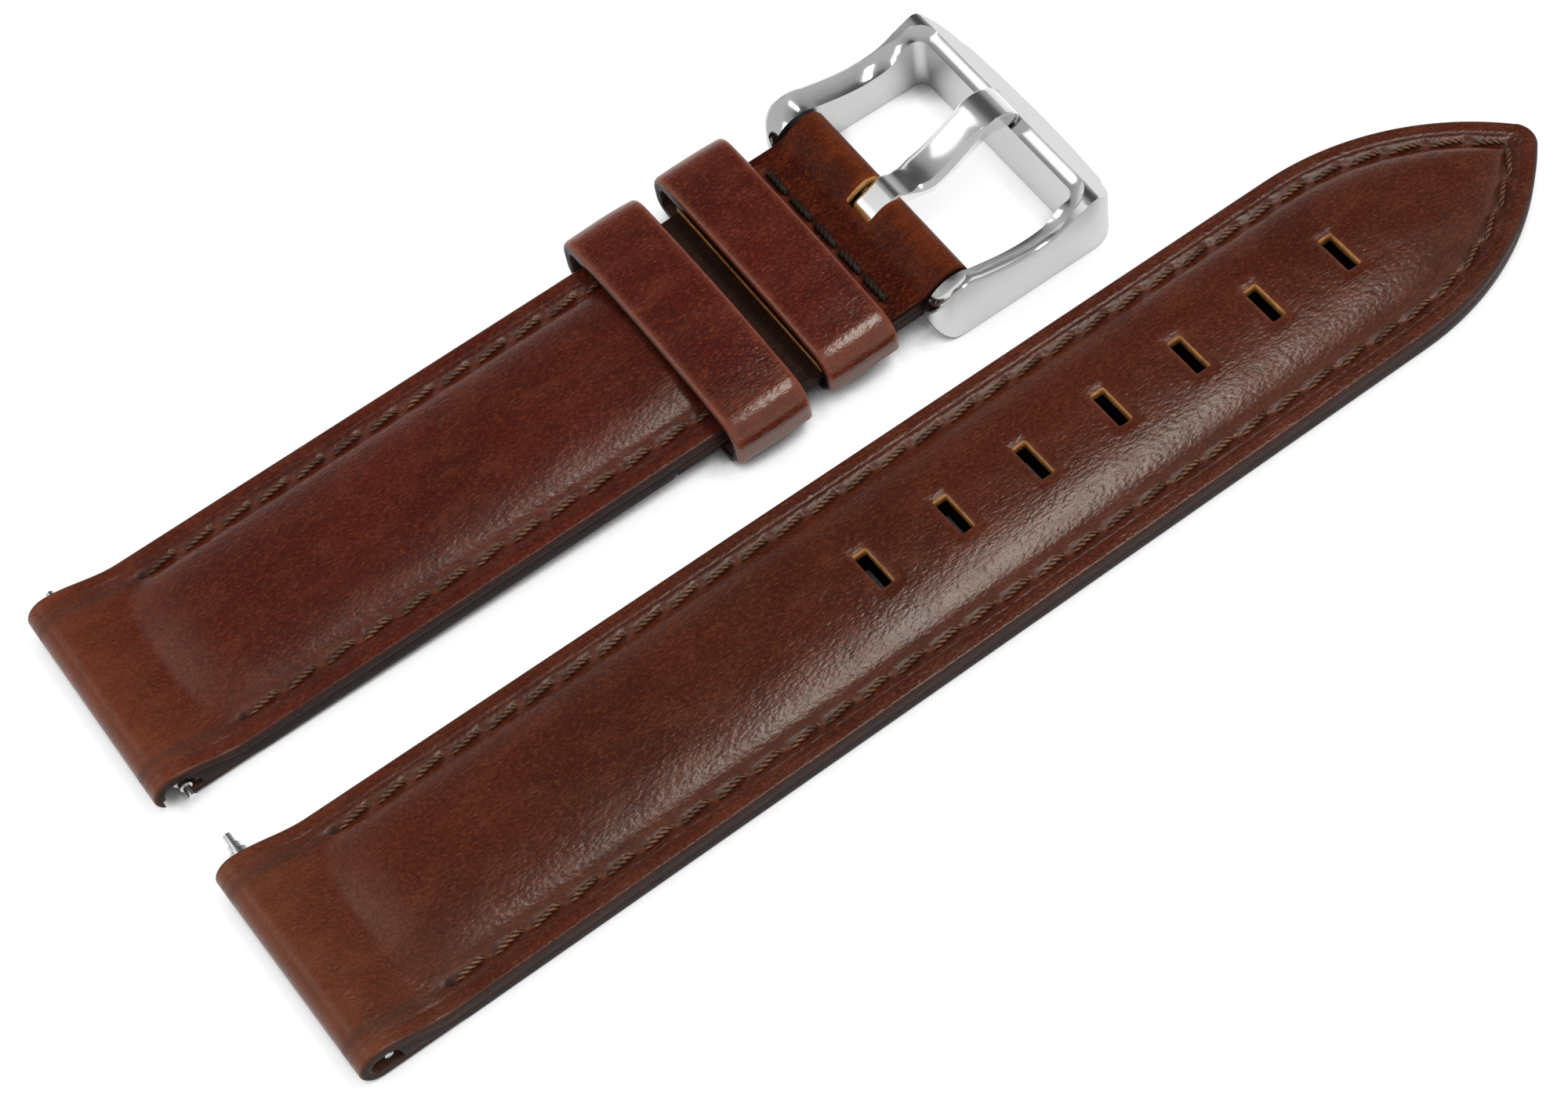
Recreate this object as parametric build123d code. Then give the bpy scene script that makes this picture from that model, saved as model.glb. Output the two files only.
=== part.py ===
from build123d import *
import os
from math import asin, atan2, ceil, cos, degrees, radians, sin, sqrt

os.makedirs("parts", exist_ok=True)

# A two-piece padded leather watch strap, in millimetres, lying on a table with +Z up.
# +X runs along both halves, from the lug ends to the buckle and to the pointed tip.
# Each half is first drawn in its own frame: x from the lug fold, y from its centre line,
# z from its underside. The buckle half is then laid on its keepers and toed in.

# Leather
strap_width = 20.0
tail_tip_width = 19.4
upper_thickness = 0.9
lining_thickness = 1.2
flap_thickness = 0.8
crown_rise = 1.2
crown_foot_inset = 2.8
padding_inset = 0.5
crown_shoulder_shares = (0.8, 0.7)
cut_overrun = 1.0

# Lug end: the upper is turned round the bar channel and skived away under the lining
lug_taper_length = 8.0
turned_under_length = 9.0
channel_slack = 0.85
channel_clearance = 0.1
crown_start = 4.6
crown_ramp_length = 5.6
crown_ramp_stations = ((0.0, 0.86, 0.45), (0.42, 0.95, 0.80), (1.0, 1.0, 1.0))

# Tail half
tail_length = 118.4
tip_length = 19.4
tip_nose_radius = 2.0
tip_station_shares = (0.0, 0.3, 0.56, 0.76, 0.9)
slot_count = 7
last_slot_inset = 20.0
slot_pitch = 7.6
slot_across = 3.7
slot_along = 1.3

# Buckle half
upper_end_reach = 2.2
crown_end_inset = 0.9
crown_fade_length = 7.0
crown_fade_stations = ((1.0, 1.0, 1.0), (0.45, 0.97, 0.72), (0.0, 0.88, 0.15))
flap_top_inset = 0.2
flap_under_length = 26.45
lining_end_inset = 2.85
fold_rise_length = 3.2
bar_x = 73.45
tongue_slot_back = 2.05
tongue_slot_width = 3.0

# Seams
stitch_inset = 2.2
stitch_start_x = 9.2
stitch_pitch = 3.4
stitch_share = 0.78
stitch_radius = 0.27
stitch_slant = 9.0
seam_end_inset = 1.1
cross_stitch_inset = 5.15
cross_stitch_count = 5
cross_stitch_pitch = 3.35
cross_stitch_length = 2.7

# Keepers
keeper_wall = 1.2
keeper_top_corner = 1.1
keeper_base_corner = 0.4
keeper_side_room = 1.3
keeper_clearance = 0.15
keeper_gap = 2.3
free_keeper_length = 7.0
free_keeper_shoulder_room = 0.65
free_keeper_crown_room = 0.2
fixed_keeper_inset = 12.95
fixed_keeper_length = 6.7
fixed_keeper_shoulder_room = 0.3
fixed_keeper_arch = 0.6
fixed_keeper_shift = 0.85

# Spring bars
bar_radius = 0.75
bar_bore_radius = 0.63
bar_lip = 0.4
piston_radius = 0.59
pin_stem_radius = 0.51
pin_radius = 0.35
running_gap = 0.04
buckle_bar_end_gap = 0.6
buckle_bar_piston_length = 2.6
buckle_bar_stem_reach = 0.1
buckle_bar_pin_length = 1.5
release_tube_inset = 0.7
release_piston_length = 3.4
release_stem_reach = 0.7
release_pin_length = 1.0
release_travel = 1.5
fixed_pin_length = 1.0
fixed_collar_radius = 0.66
fixed_collar_length = 0.9
fixed_plug_length = 2.0
knob_inset = 1.3
knob_stem_radius = 0.28
knob_head_radius = 0.55
knob_head_length = 0.7
knob_reach = 1.75
knob_lean = 42.0
knob_notch_front = 0.55
knob_notch_back = 3.9
knob_notch_length = 4.6
knob_notch_height = 1.6
spring_wall = 0.14
spring_end_gap = 0.02
buckle_release_shift = -0.1
tail_release_shift = 1.55

# Buckle frame, measured from the bar axis
frame_side_gap = 0.3
frame_arm_width = 2.05
frame_rear = 3.1
frame_front = 16.25
frame_front_bow = 1.25
frame_side_taper = 0.25
frame_rear_corner = 1.6
frame_front_corner = 3.0
window_front = 11.9
window_corner = 1.0
ear_top = 1.95
ridge_height = 2.45
arm_dip = 1.2
arm_dip_x = 8.7
nose_height = 1.9
nose_round = 1.1
ear_front_x = 1.3
frame_heel_x = -0.4
inner_bevel_start = 0.45
inner_bevel_angle = 30.0
pin_hole_share = 0.56
rest_recess_depth = 0.35
rest_recess_margin = 0.3

# Tongue, measured from the bar axis
tongue_overhang = 1.0
tongue_peak = 3.86
tongue_rear = 1.75
knuckle_radius = 1.3
tongue_rear_width = 2.6
tongue_blade_width = 3.6
tongue_tip_width = 3.3
tongue_neck_x = 2.1
tongue_wide_x = 4.2
tongue_rest_gap = 0.03
tongue_top_shares = (
    (0.0, 0.325), (0.126, 0.245), (0.314, 0.225), (0.473, 0.405), (0.612, 0.685),
    (0.721, 0.895), (0.814, 1.0), (0.899, 0.97), (0.992, 0.79),
)
tongue_under_shares = ((0.80, 0.62), (0.73, 0.58), (0.62, 0.40), (0.48, 0.15), (0.32, -0.02), (0.15, -0.03))

# How the two halves lie
halves_spacing = 28.05
toe_angle = 1.09

# Sizes that follow
margin_thickness = upper_thickness + lining_thickness
lug_radius = bar_radius + channel_clearance + upper_thickness
channel_radius = bar_radius + channel_clearance
lug_bar_x = lug_radius + channel_slack
flap_stack = lining_thickness + flap_thickness
fold_inner_radius = bar_radius + channel_clearance
fold_outer_radius = fold_inner_radius + flap_thickness
bar_z = fold_outer_radius
tip_start = tail_length - tip_length
fixed_keeper_x = bar_x - fixed_keeper_inset
free_keeper_x = fixed_keeper_x - keeper_gap - free_keeper_length
tongue_length = window_front + tongue_overhang
upper_end_x = fixed_keeper_x - upper_end_reach
crown_end_x = upper_end_x - crown_end_inset
seam_end_x = upper_end_x - seam_end_inset
lining_end_x = bar_x - lining_end_inset
cross_stitch_x = bar_x - cross_stitch_inset
flap_top_start_x = fixed_keeper_x + flap_top_inset
flap_under_start_x = bar_x - flap_under_length
keeper_inner_half_width = strap_width / 2 + keeper_side_room
free_keeper_shoulder = margin_thickness + free_keeper_shoulder_room
free_keeper_top = margin_thickness + crown_rise + free_keeper_crown_room
fixed_keeper_shoulder = flap_stack + fixed_keeper_shoulder_room
fixed_keeper_top = fixed_keeper_shoulder + fixed_keeper_arch
frame_inner_half_width = strap_width / 2 + frame_side_gap
frame_half_width = frame_inner_half_width + frame_arm_width
pin_hole_depth = pin_hole_share * frame_arm_width
buckle_bar_tube_length = 2 * (frame_inner_half_width - buckle_bar_end_gap)
release_tube_length = strap_width - 2 * release_tube_inset
tilt_drop = keeper_clearance + keeper_wall
tilt = asin(tilt_drop / (free_keeper_x - lug_radius))
strap_lift = lug_radius * (1 - cos(tilt) - sin(tilt))
axis_x = bar_x * cos(tilt) - bar_z * sin(tilt)
axis_z = bar_x * sin(tilt) + bar_z * cos(tilt) + strap_lift


def xz(x, z):
    """A point in the lengthwise section."""
    return Vector(x, 0, z)


def across(face, half_width):
    """A lengthwise section pulled out across the strap, equally to both sides."""
    return extrude(face, amount=half_width, dir=(0, 1, 0), both=True)


def section(*edges):
    return Face(Wire(edges))


def ease(x0, z0, x1, z1):
    """A gentle S of two arcs from one level to another, level at both ends."""
    middle = xz((x0 + x1) / 2, (z0 + z1) / 2)
    first = TangentArc(xz(x0, z0), middle, tangent=(1, 0, 0))
    second = TangentArc(xz(x1, z1), middle, tangent=(-1, 0, 0))
    return first, second


def strap_section(end_x):
    """The whole leather body: round lug end, taper, and level margin."""
    lug_top = 2 * lug_radius
    return section(
        ThreePointArc(xz(lug_radius, 0), xz(0, lug_radius), xz(lug_radius, lug_top)),
        *ease(lug_radius, lug_top, lug_taper_length, margin_thickness),
        Line(xz(lug_taper_length, margin_thickness), xz(end_x, margin_thickness)),
        Line(xz(end_x, margin_thickness), xz(end_x, 0)),
        Line(xz(end_x, 0), xz(lug_radius, 0)),
    )


def lining_section(end_x):
    """The lining: its front end is a wedge between the upper and its turned-under edge."""
    low = lug_radius - channel_radius
    high = lug_radius + channel_radius
    return section(
        ThreePointArc(xz(lug_bar_x, low), xz(lug_bar_x + channel_radius, lug_radius), xz(lug_bar_x, high)),
        *ease(lug_bar_x, high, lug_taper_length, lining_thickness),
        Line(xz(lug_taper_length, lining_thickness), xz(end_x, lining_thickness)),
        Line(xz(end_x, lining_thickness), xz(end_x, 0)),
        Line(xz(end_x, 0), xz(turned_under_length, 0)),
        Line(xz(turned_under_length, 0), xz(lug_bar_x, low)),
    )


def channel_section():
    """The oblong bar channel in the lug end."""
    low = lug_radius - channel_radius
    high = lug_radius + channel_radius
    return section(
        ThreePointArc(xz(lug_radius, high), xz(lug_radius - channel_radius, lug_radius), xz(lug_radius, low)),
        Line(xz(lug_radius, low), xz(lug_bar_x, low)),
        ThreePointArc(xz(lug_bar_x, low), xz(lug_bar_x + channel_radius, lug_radius), xz(lug_bar_x, high)),
        Line(xz(lug_bar_x, high), xz(lug_radius, high)),
    )


def crown_profile(x, half_width, rise, base_z):
    """The dome across the strap: a wide arc on top that turns down in a tighter arc at each side."""
    wide = crown_shoulder_shares[0] * half_width
    high = base_z + crown_shoulder_shares[1] * rise
    top = ThreePointArc((x, -wide, high), (x, 0, base_z + rise), (x, wide, high))
    far = TangentArc((x, wide, high), (x, half_width, base_z), tangent=top % 1)
    near = TangentArc((x, -wide, high), (x, -half_width, base_z), tangent=-(top % 0))
    return section(near, top, far, Line((x, half_width, base_z), (x, -half_width, base_z)))


def crown(stations, base_z):
    """A domed body lofted through (x, half width, rise) stations."""
    return loft([crown_profile(x, half_width, rise, base_z) for x, half_width, rise in stations], ruled=True)


def crown_ramp(half_width, inset):
    """The stations where the padding swells out of the lug end."""
    return [
        (crown_start + inset + share * crown_ramp_length, half_width * wide, crown_rise * high)
        for share, wide, high in crown_ramp_stations
    ]


def buckle_crown_stations(inset):
    half_width = strap_width / 2 - crown_foot_inset - inset
    fade = [
        (crown_end_x - inset - share * crown_fade_length, half_width * wide, crown_rise * high)
        for share, wide, high in crown_fade_stations
    ]
    return crown_ramp(half_width, inset) + fade


# The tip is two large arcs, tangent to the sides and to a small nose arc
tip_half_width = tail_tip_width / 2
tip_reach = tail_length - tip_nose_radius - tip_start
tip_arc_radius = (tip_reach**2 + tip_half_width**2 - tip_nose_radius**2) / (
    2 * (tip_half_width - tip_nose_radius)
)
tip_arc_drop = tip_arc_radius - tip_half_width


def tip_reach_at(inset):
    """Where the two tip arcs, moved in by an inset, meet on the centre line."""
    return sqrt((tip_arc_radius - inset) ** 2 - tip_arc_drop**2)


def tip_half_width_at(reach, inset):
    return sqrt((tip_arc_radius - inset) ** 2 - reach**2) - tip_arc_drop


def tail_crown_stations(inset):
    foot = crown_foot_inset + inset
    start_width = strap_width / 2 - foot
    full_width = tip_half_width - foot
    stations = crown_ramp(start_width, inset)
    for share in tip_station_shares:
        reach = share * tip_reach_at(foot)
        half_width = tip_half_width_at(reach, foot)
        stations.append((tip_start + reach, half_width, crown_rise * sqrt(half_width / full_width)))
    return stations


def tail_outline():
    """The cut outline of the tail half, seen from above."""
    lean = atan2(tip_arc_drop, tip_reach)
    joint_x = tip_start + tip_arc_radius * cos(lean)
    joint_y = tip_arc_radius * sin(lean) - tip_arc_drop
    middle = (lean + radians(90)) / 2
    middle_x = tip_start + tip_arc_radius * cos(middle)
    middle_y = tip_arc_radius * sin(middle) - tip_arc_drop
    half = strap_width / 2
    return section(
        Line((-cut_overrun, -half), (lug_taper_length, -half)),
        Line((lug_taper_length, -half), (tip_start, -tip_half_width)),
        ThreePointArc((tip_start, -tip_half_width), (middle_x, -middle_y), (joint_x, -joint_y)),
        ThreePointArc((joint_x, -joint_y), (tail_length, 0), (joint_x, joint_y)),
        ThreePointArc((joint_x, joint_y), (middle_x, middle_y), (tip_start, tip_half_width)),
        Line((tip_start, tip_half_width), (lug_taper_length, half)),
        Line((lug_taper_length, half), (-cut_overrun, half)),
        Line((-cut_overrun, half), (-cut_overrun, -half)),
    )


def knob_notch(side):
    """The cut in the turned-under leather that leaves room for the release knob."""
    low = -cut_overrun
    face = section(
        Line(xz(knob_notch_front, low), xz(knob_notch_back, low)),
        Line(xz(knob_notch_back, low), xz(knob_notch_back, knob_notch_height)),
        Line(xz(knob_notch_back, knob_notch_height), xz(knob_notch_front, knob_notch_height)),
        Line(xz(knob_notch_front, knob_notch_height), xz(knob_notch_front, low)),
    )
    inner_y = side * (strap_width / 2 - knob_notch_length)
    return Pos(0, inner_y, 0) * extrude(face, amount=knob_notch_length + cut_overrun, dir=(0, side, 0))


def leather_half(stations, padding_stations, body_end, lining_end, notch_side):
    """Upper, padding and lining of one half, with the bar channel and the knob notch."""
    half = strap_width / 2
    lining = across(lining_section(lining_end), half)
    padding = crown(padding_stations, lining_thickness) - lining
    body = across(strap_section(body_end), half) + crown(stations, margin_thickness)
    channel = across(channel_section(), half + cut_overrun)
    notch = knob_notch(notch_side)
    upper = body - channel - lining - padding - notch
    return upper, padding, lining - notch


def buckle_leather():
    upper, padding, lining = leather_half(
        buckle_crown_stations(0), buckle_crown_stations(padding_inset), upper_end_x, lining_end_x, -1
    )
    flap_room = Pos((flap_under_start_x + bar_x) / 2, 0, flap_thickness / 2) * Box(
        bar_x - flap_under_start_x, strap_width + 2 * cut_overrun, flap_thickness
    )
    return upper, padding, lining - flap_room


def tail_leather():
    end = tail_length + cut_overrun
    solids = leather_half(tail_crown_stations(0), tail_crown_stations(padding_inset), end, end, 1)
    height = 2 * lug_radius + cut_overrun
    outline = extrude(tail_outline(), amount=height, dir=(0, 0, 1))
    slots = [
        Pos(tail_length - last_slot_inset - i * slot_pitch, 0, 0) * Box(slot_along, slot_across, 2 * height)
        for i in range(slot_count)
    ]
    return [(solid & outline) - slots for solid in solids]


def buckle_flap():
    """The leather folded round the buckle bar, with the tongue slot in its fold."""
    rise_start = bar_x - fold_rise_length
    outer_top = bar_z + fold_outer_radius
    inner_top = bar_z + fold_inner_radius
    outer = section(
        Line(xz(flap_under_start_x, 0), xz(bar_x, 0)),
        ThreePointArc(xz(bar_x, 0), xz(bar_x + fold_outer_radius, bar_z), xz(bar_x, outer_top)),
        *ease(rise_start, flap_stack, bar_x, outer_top),
        Line(xz(rise_start, flap_stack), xz(flap_top_start_x, flap_stack)),
        Line(xz(flap_top_start_x, flap_stack), xz(flap_top_start_x, lining_thickness)),
        Line(xz(flap_top_start_x, lining_thickness), xz(flap_under_start_x, lining_thickness)),
        Line(xz(flap_under_start_x, lining_thickness), xz(flap_under_start_x, 0)),
    )
    inside = section(
        Line(xz(flap_under_start_x, flap_thickness), xz(bar_x, flap_thickness)),
        ThreePointArc(
            xz(bar_x, flap_thickness), xz(bar_x + fold_inner_radius, bar_z), xz(bar_x, inner_top)
        ),
        *ease(rise_start, lining_thickness, bar_x, inner_top),
        Line(xz(rise_start, lining_thickness), xz(flap_under_start_x, lining_thickness)),
        Line(xz(flap_under_start_x, lining_thickness), xz(flap_under_start_x, flap_thickness)),
    )
    half = strap_width / 2
    slot_front = bar_x + fold_outer_radius + cut_overrun
    slot_rear = bar_x - tongue_slot_back
    slot = Pos((slot_front + slot_rear) / 2, 0, 0) * Box(
        slot_front - slot_rear, tongue_slot_width, 2 * (outer_top + cut_overrun)
    )
    return across(outer, half) - across(inside, half + cut_overrun) - slot


def stitch(length, radius):
    """One stitch: half of a six-sided length of thread, which lies flat on the leather along x."""
    high = radius * sin(radians(60))
    end = make_face(
        Polyline((0, -radius, 0), (0, radius, 0), (0, radius / 2, high), (0, -radius / 2, high), close=True)
    )
    return Pos(-length / 2, 0, 0) * extrude(end, amount=length, dir=(1, 0, 0))


def side_seam(side):
    """The row of slanted stitches along one edge of the buckle half."""
    count = int((seam_end_x - stitch_start_x) / stitch_pitch)
    y = side * (strap_width / 2 - stitch_inset)
    row = []
    for i in range(count):
        x = stitch_start_x + (i + 0.5) * stitch_pitch
        one = stitch(stitch_share * stitch_pitch, stitch_radius)
        row.append(Pos(x, y, margin_thickness) * Rot(0, 0, stitch_slant) * one)
    return Compound(row)


def tail_seam():
    """One seam up the far side, round the tip and back along the near side."""
    start = (stitch_start_x, strap_width / 2 - stitch_inset)
    turn = (tip_start, tip_half_width - stitch_inset)
    reach = tip_reach_at(stitch_inset)
    middle_y = tip_half_width_at(reach / 2, stitch_inset)
    path = Wire(
        [
            Line(start, turn),
            ThreePointArc(turn, (tip_start + reach / 2, middle_y), (tip_start + reach, 0)),
        ]
    )
    count = ceil(path.length / stitch_pitch)
    length = stitch_share * path.length / count
    row = []
    for i in range(count):
        share = (i + 0.5) / count
        spot = path.position_at(share)
        way = path.tangent_at(share)
        angle = degrees(atan2(way.Y, way.X))
        for side in (1, -1):
            place = Pos(spot.X, side * spot.Y, margin_thickness) * Rot(0, 0, side * angle + stitch_slant)
            row.append(place * stitch(length, stitch_radius))
    return Compound(row)


def cross_seam():
    """The short seam across the strap that closes the fold."""
    row = []
    for i in range(cross_stitch_count):
        y = (i - (cross_stitch_count - 1) / 2) * cross_stitch_pitch
        row.append(
            Pos(cross_stitch_x, y, flap_stack) * Rot(0, 0, 90) * stitch(cross_stitch_length, stitch_radius)
        )
    return Compound(row)


def keeper(x, length, bottom, shoulder, top, shift):
    """A leather loop: its inside is a rounded oblong with an arched top."""
    half = keeper_inner_half_width
    inside = section(
        Line((-half, bottom), (half, bottom)),
        Line((half, bottom), (half, shoulder)),
        ThreePointArc((half, shoulder), (0, top), (-half, shoulder)),
        Line((-half, shoulder), (-half, bottom)),
    )
    inside = fillet(inside.vertices().sort_by(Axis.Y)[:2], keeper_base_corner)
    inside = fillet(inside.vertices().sort_by(Axis.Y)[-2:], keeper_top_corner)
    loop = offset(inside, amount=keeper_wall) - inside
    return Pos(x, shift, 0) * extrude(Plane.YZ * loop, amount=length)


def rod(radius, start_y, end_y):
    """A round bar along y."""
    middle = (start_y + end_y) / 2
    return Pos(0, middle, 0) * Rot(90, 0, 0) * Cylinder(radius, abs(end_y - start_y))


def bar_tube(length, lips):
    """A spring bar's tube along y, centred, with a rolled lip at the named ends."""
    end = length / 2
    tube = rod(bar_radius, -end, end) - rod(bar_bore_radius, -end - cut_overrun, end + cut_overrun)
    for side in lips:
        tube += rod(bar_radius, side * (end - bar_lip), side * end) - rod(
            pin_stem_radius + running_gap, side * (end - bar_lip - cut_overrun), side * (end + cut_overrun)
        )
    return tube


def sprung_pin(tube_length, piston_length, stem_reach, pin_length, side):
    """A piston behind the tube's lip, its stem through the lip, and the thin pin that stands out."""
    shoulder = tube_length / 2 - bar_lip - spring_end_gap
    stem_end = tube_length / 2 + stem_reach
    piston = rod(piston_radius, side * (shoulder - piston_length), side * shoulder)
    stem = rod(pin_stem_radius, side * shoulder, side * stem_end)
    pin = rod(pin_radius, side * stem_end, side * (stem_end + pin_length))
    return piston + stem + pin


def spring_sleeve(start_y, end_y):
    """The space that a closed-wound spring fills inside the tube."""
    return rod(piston_radius, start_y, end_y) - rod(
        piston_radius - spring_wall, start_y - cut_overrun, end_y + cut_overrun
    )


def buckle_bar():
    """Tube, two sprung pins and the spring between them."""
    tube = bar_tube(buckle_bar_tube_length, (-1, 1))
    pin_sizes = buckle_bar_tube_length, buckle_bar_piston_length, buckle_bar_stem_reach, buckle_bar_pin_length
    far = sprung_pin(*pin_sizes, 1)
    near = sprung_pin(*pin_sizes, -1)
    seat = buckle_bar_tube_length / 2 - bar_lip - buckle_bar_piston_length - 2 * spring_end_gap
    return tube, far, near, spring_sleeve(-seat, seat)


def knob_stud(radius, start, end):
    """A round stud square to the bar, leaning towards the lug fold below the bar."""
    stud = Pos(0, 0, -(start + end) / 2) * Cylinder(radius, end - start)
    return Rot(0, knob_lean, 0) * stud


def release_bar(side):
    """Tube with one fixed pin, and a sprung plunger with its knob at the given side."""
    half = release_tube_length / 2
    tube = bar_tube(release_tube_length, (side,))
    knob_y = side * (half - knob_inset)
    window_radius = knob_stem_radius + running_gap
    back_y = knob_y - side * release_travel
    window = Pos(0, knob_y, 0) * knob_stud(window_radius, 0, bar_radius + cut_overrun)
    window += Pos(0, back_y, 0) * knob_stud(window_radius, 0, bar_radius + cut_overrun)
    reach = bar_radius + cut_overrun
    slot = Pos(0, 0, -reach / 2) * Box(2 * window_radius, release_travel, reach)
    window += Pos(0, (knob_y + back_y) / 2, 0) * Rot(0, knob_lean, 0) * slot
    tube -= window
    plunger = sprung_pin(
        release_tube_length, release_piston_length, release_stem_reach, release_pin_length, side
    )
    stem = Pos(0, knob_y, 0) * knob_stud(knob_stem_radius, 0, knob_reach - knob_head_length)
    head = Pos(0, knob_y, 0) * knob_stud(knob_head_radius, knob_reach - knob_head_length, knob_reach)
    knob = stem + head
    plunger -= knob
    fixed = rod(bar_bore_radius, -side * (half - fixed_plug_length), -side * half)
    collar_end = half + fixed_collar_length
    fixed += rod(fixed_collar_radius, -side * half, -side * collar_end)
    fixed += rod(pin_radius, -side * collar_end, -side * (collar_end + fixed_pin_length))
    spring_back = half - bar_lip - release_piston_length - 2 * spring_end_gap
    spring = spring_sleeve(-side * (half - fixed_plug_length - spring_end_gap), side * spring_back)
    return tube, fixed, plunger, knob, spring


def frame_side_section():
    """The buckle frame seen from the side: ears, dipped arms and a bevelled front bar."""
    bottom = -axis_z
    nose_z = nose_height - axis_z
    ear_z = (ear_top + bottom) / 2
    bevel_top_x = window_front + nose_round
    return section(
        Line(xz(frame_heel_x, bottom), xz(frame_front - nose_round, bottom)),
        ThreePointArc(
            xz(frame_front - nose_round, bottom),
            xz(frame_front - nose_round * (1 - sin(radians(45))), (bottom + nose_z) / 2 - nose_round / 8),
            xz(frame_front, nose_z),
        ),
        Line(xz(frame_front, nose_z), xz(bevel_top_x, ridge_height)),
        ThreePointArc(
            xz(bevel_top_x, ridge_height),
            xz(bevel_top_x - nose_round / 2, ridge_height + nose_round / 8),
            xz(bevel_top_x - nose_round, ridge_height),
        ),
        Spline(
            xz(bevel_top_x - nose_round, ridge_height), xz(arm_dip_x, arm_dip), xz(ear_front_x, ear_top)
        ),
        ThreePointArc(
            xz(ear_front_x, ear_top), xz(-frame_rear, ear_z + nose_round / 2), xz(frame_heel_x, bottom)
        ),
    )


def frame_plan():
    """The buckle frame from above: a U with a bowed front bar, open to the strap."""
    side_x = frame_front - frame_front_bow
    side_y = frame_half_width - frame_side_taper
    outline = section(
        Line((-frame_rear, -frame_half_width), (side_x, -side_y)),
        ThreePointArc((side_x, -side_y), (frame_front, 0), (side_x, side_y)),
        Line((side_x, side_y), (-frame_rear, frame_half_width)),
        Line((-frame_rear, frame_half_width), (-frame_rear, -frame_half_width)),
    )
    front = outline.vertices().filter_by_position(Axis.X, 0, frame_front)
    outline = fillet(front, frame_front_corner)
    rear = outline.vertices().filter_by_position(Axis.X, -frame_rear - cut_overrun, 0)
    outline = fillet(rear, frame_rear_corner)
    return outline


def frame_window():
    """The open space of the frame, which runs out past the ears."""
    window_length = window_front + frame_rear + 2 * cut_overrun
    window = Rectangle(window_length, 2 * frame_inner_half_width)
    window = Pos(window_front - window_length / 2, 0) * window
    return fillet(window.vertices().group_by(Axis.X)[-1], window_corner)


def buckle_frame():
    height = axis_z + ridge_height + cut_overrun
    plan = extrude(frame_plan(), amount=height, dir=(0, 0, 1), both=True)
    frame = plan & across(frame_side_section(), frame_half_width + cut_overrun)
    frame -= extrude(frame_window(), amount=height, dir=(0, 0, 1), both=True)
    frame -= extrude(Pos(0, 0, inner_bevel_start) * frame_window(), amount=height, taper=-inner_bevel_angle)
    hole_end = frame_inner_half_width + pin_hole_depth
    frame -= rod(pin_radius + running_gap, -hole_end, hole_end)
    floor_z = ridge_height - rest_recess_depth
    recess_width = tongue_tip_width + 2 * rest_recess_margin
    recess = Pos(frame_front, 0, floor_z + ridge_height / 2) * Box(
        2 * (frame_front - window_front + cut_overrun), recess_width, ridge_height
    )
    return frame - recess


def buckle_tongue():
    """The tongue: a squared knuckle on the bar, a dipping blade and a tip bent over the front bar."""
    rest_z = ridge_height - rest_recess_depth + tongue_rest_gap
    rest_x = window_front - rest_recess_margin
    top = [xz(a * tongue_length, b * tongue_peak) for a, b in tongue_top_shares]
    under = [xz(a * tongue_length, b * tongue_peak) for a, b in tongue_under_shares]
    rear_top = xz(-tongue_rear, tongue_rear / 3)
    rear_low = xz(-tongue_rear, -tongue_rear / 3)
    side = section(
        Spline(*top),
        Line(top[-1], xz(tongue_length, rest_z)),
        Line(xz(tongue_length, rest_z), xz(rest_x, rest_z)),
        Spline(xz(rest_x, rest_z), *under),
        Line(under[-1], xz(0, -knuckle_radius)),
        Line(xz(0, -knuckle_radius), rear_low),
        Line(rear_low, rear_top),
        Line(rear_top, top[0]),
    )
    knuckle = rod(knuckle_radius, -tongue_rear_width / 2, tongue_rear_width / 2)
    rear = tongue_rear_width / 2
    blade = tongue_blade_width / 2
    tip = tongue_tip_width / 2
    plan = make_face(
        Polyline(
            (-2 * tongue_rear, -rear), (tongue_neck_x, -rear), (tongue_wide_x, -blade),
            (tongue_length + cut_overrun, -tip), (tongue_length + cut_overrun, tip),
            (tongue_wide_x, blade), (tongue_neck_x, rear), (-2 * tongue_rear, rear), close=True,
        )
    )
    block = extrude(plan, amount=2 * tongue_peak, dir=(0, 0, 1), both=True)
    bore = rod(bar_radius + running_gap, -tongue_blade_width, tongue_blade_width)
    return (across(side, tongue_blade_width) & block) + knuckle - bore


# Put every piece in its place on the table
lay_buckle_half = Pos(0, halves_spacing, 0) * Rot(0, 0, -toe_angle)
lay_strap = lay_buckle_half * Pos(0, 0, strap_lift) * Rot(0, -degrees(tilt), 0)
lay_hardware = lay_buckle_half * Pos(axis_x, 0, axis_z)
lay_buckle_bar = lay_strap * Pos(bar_x, 0, bar_z)
lay_buckle_release = lay_strap * Pos(lug_bar_x, buckle_release_shift, lug_radius)
lay_tail_release = Pos(lug_bar_x, tail_release_shift, lug_radius)

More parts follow.
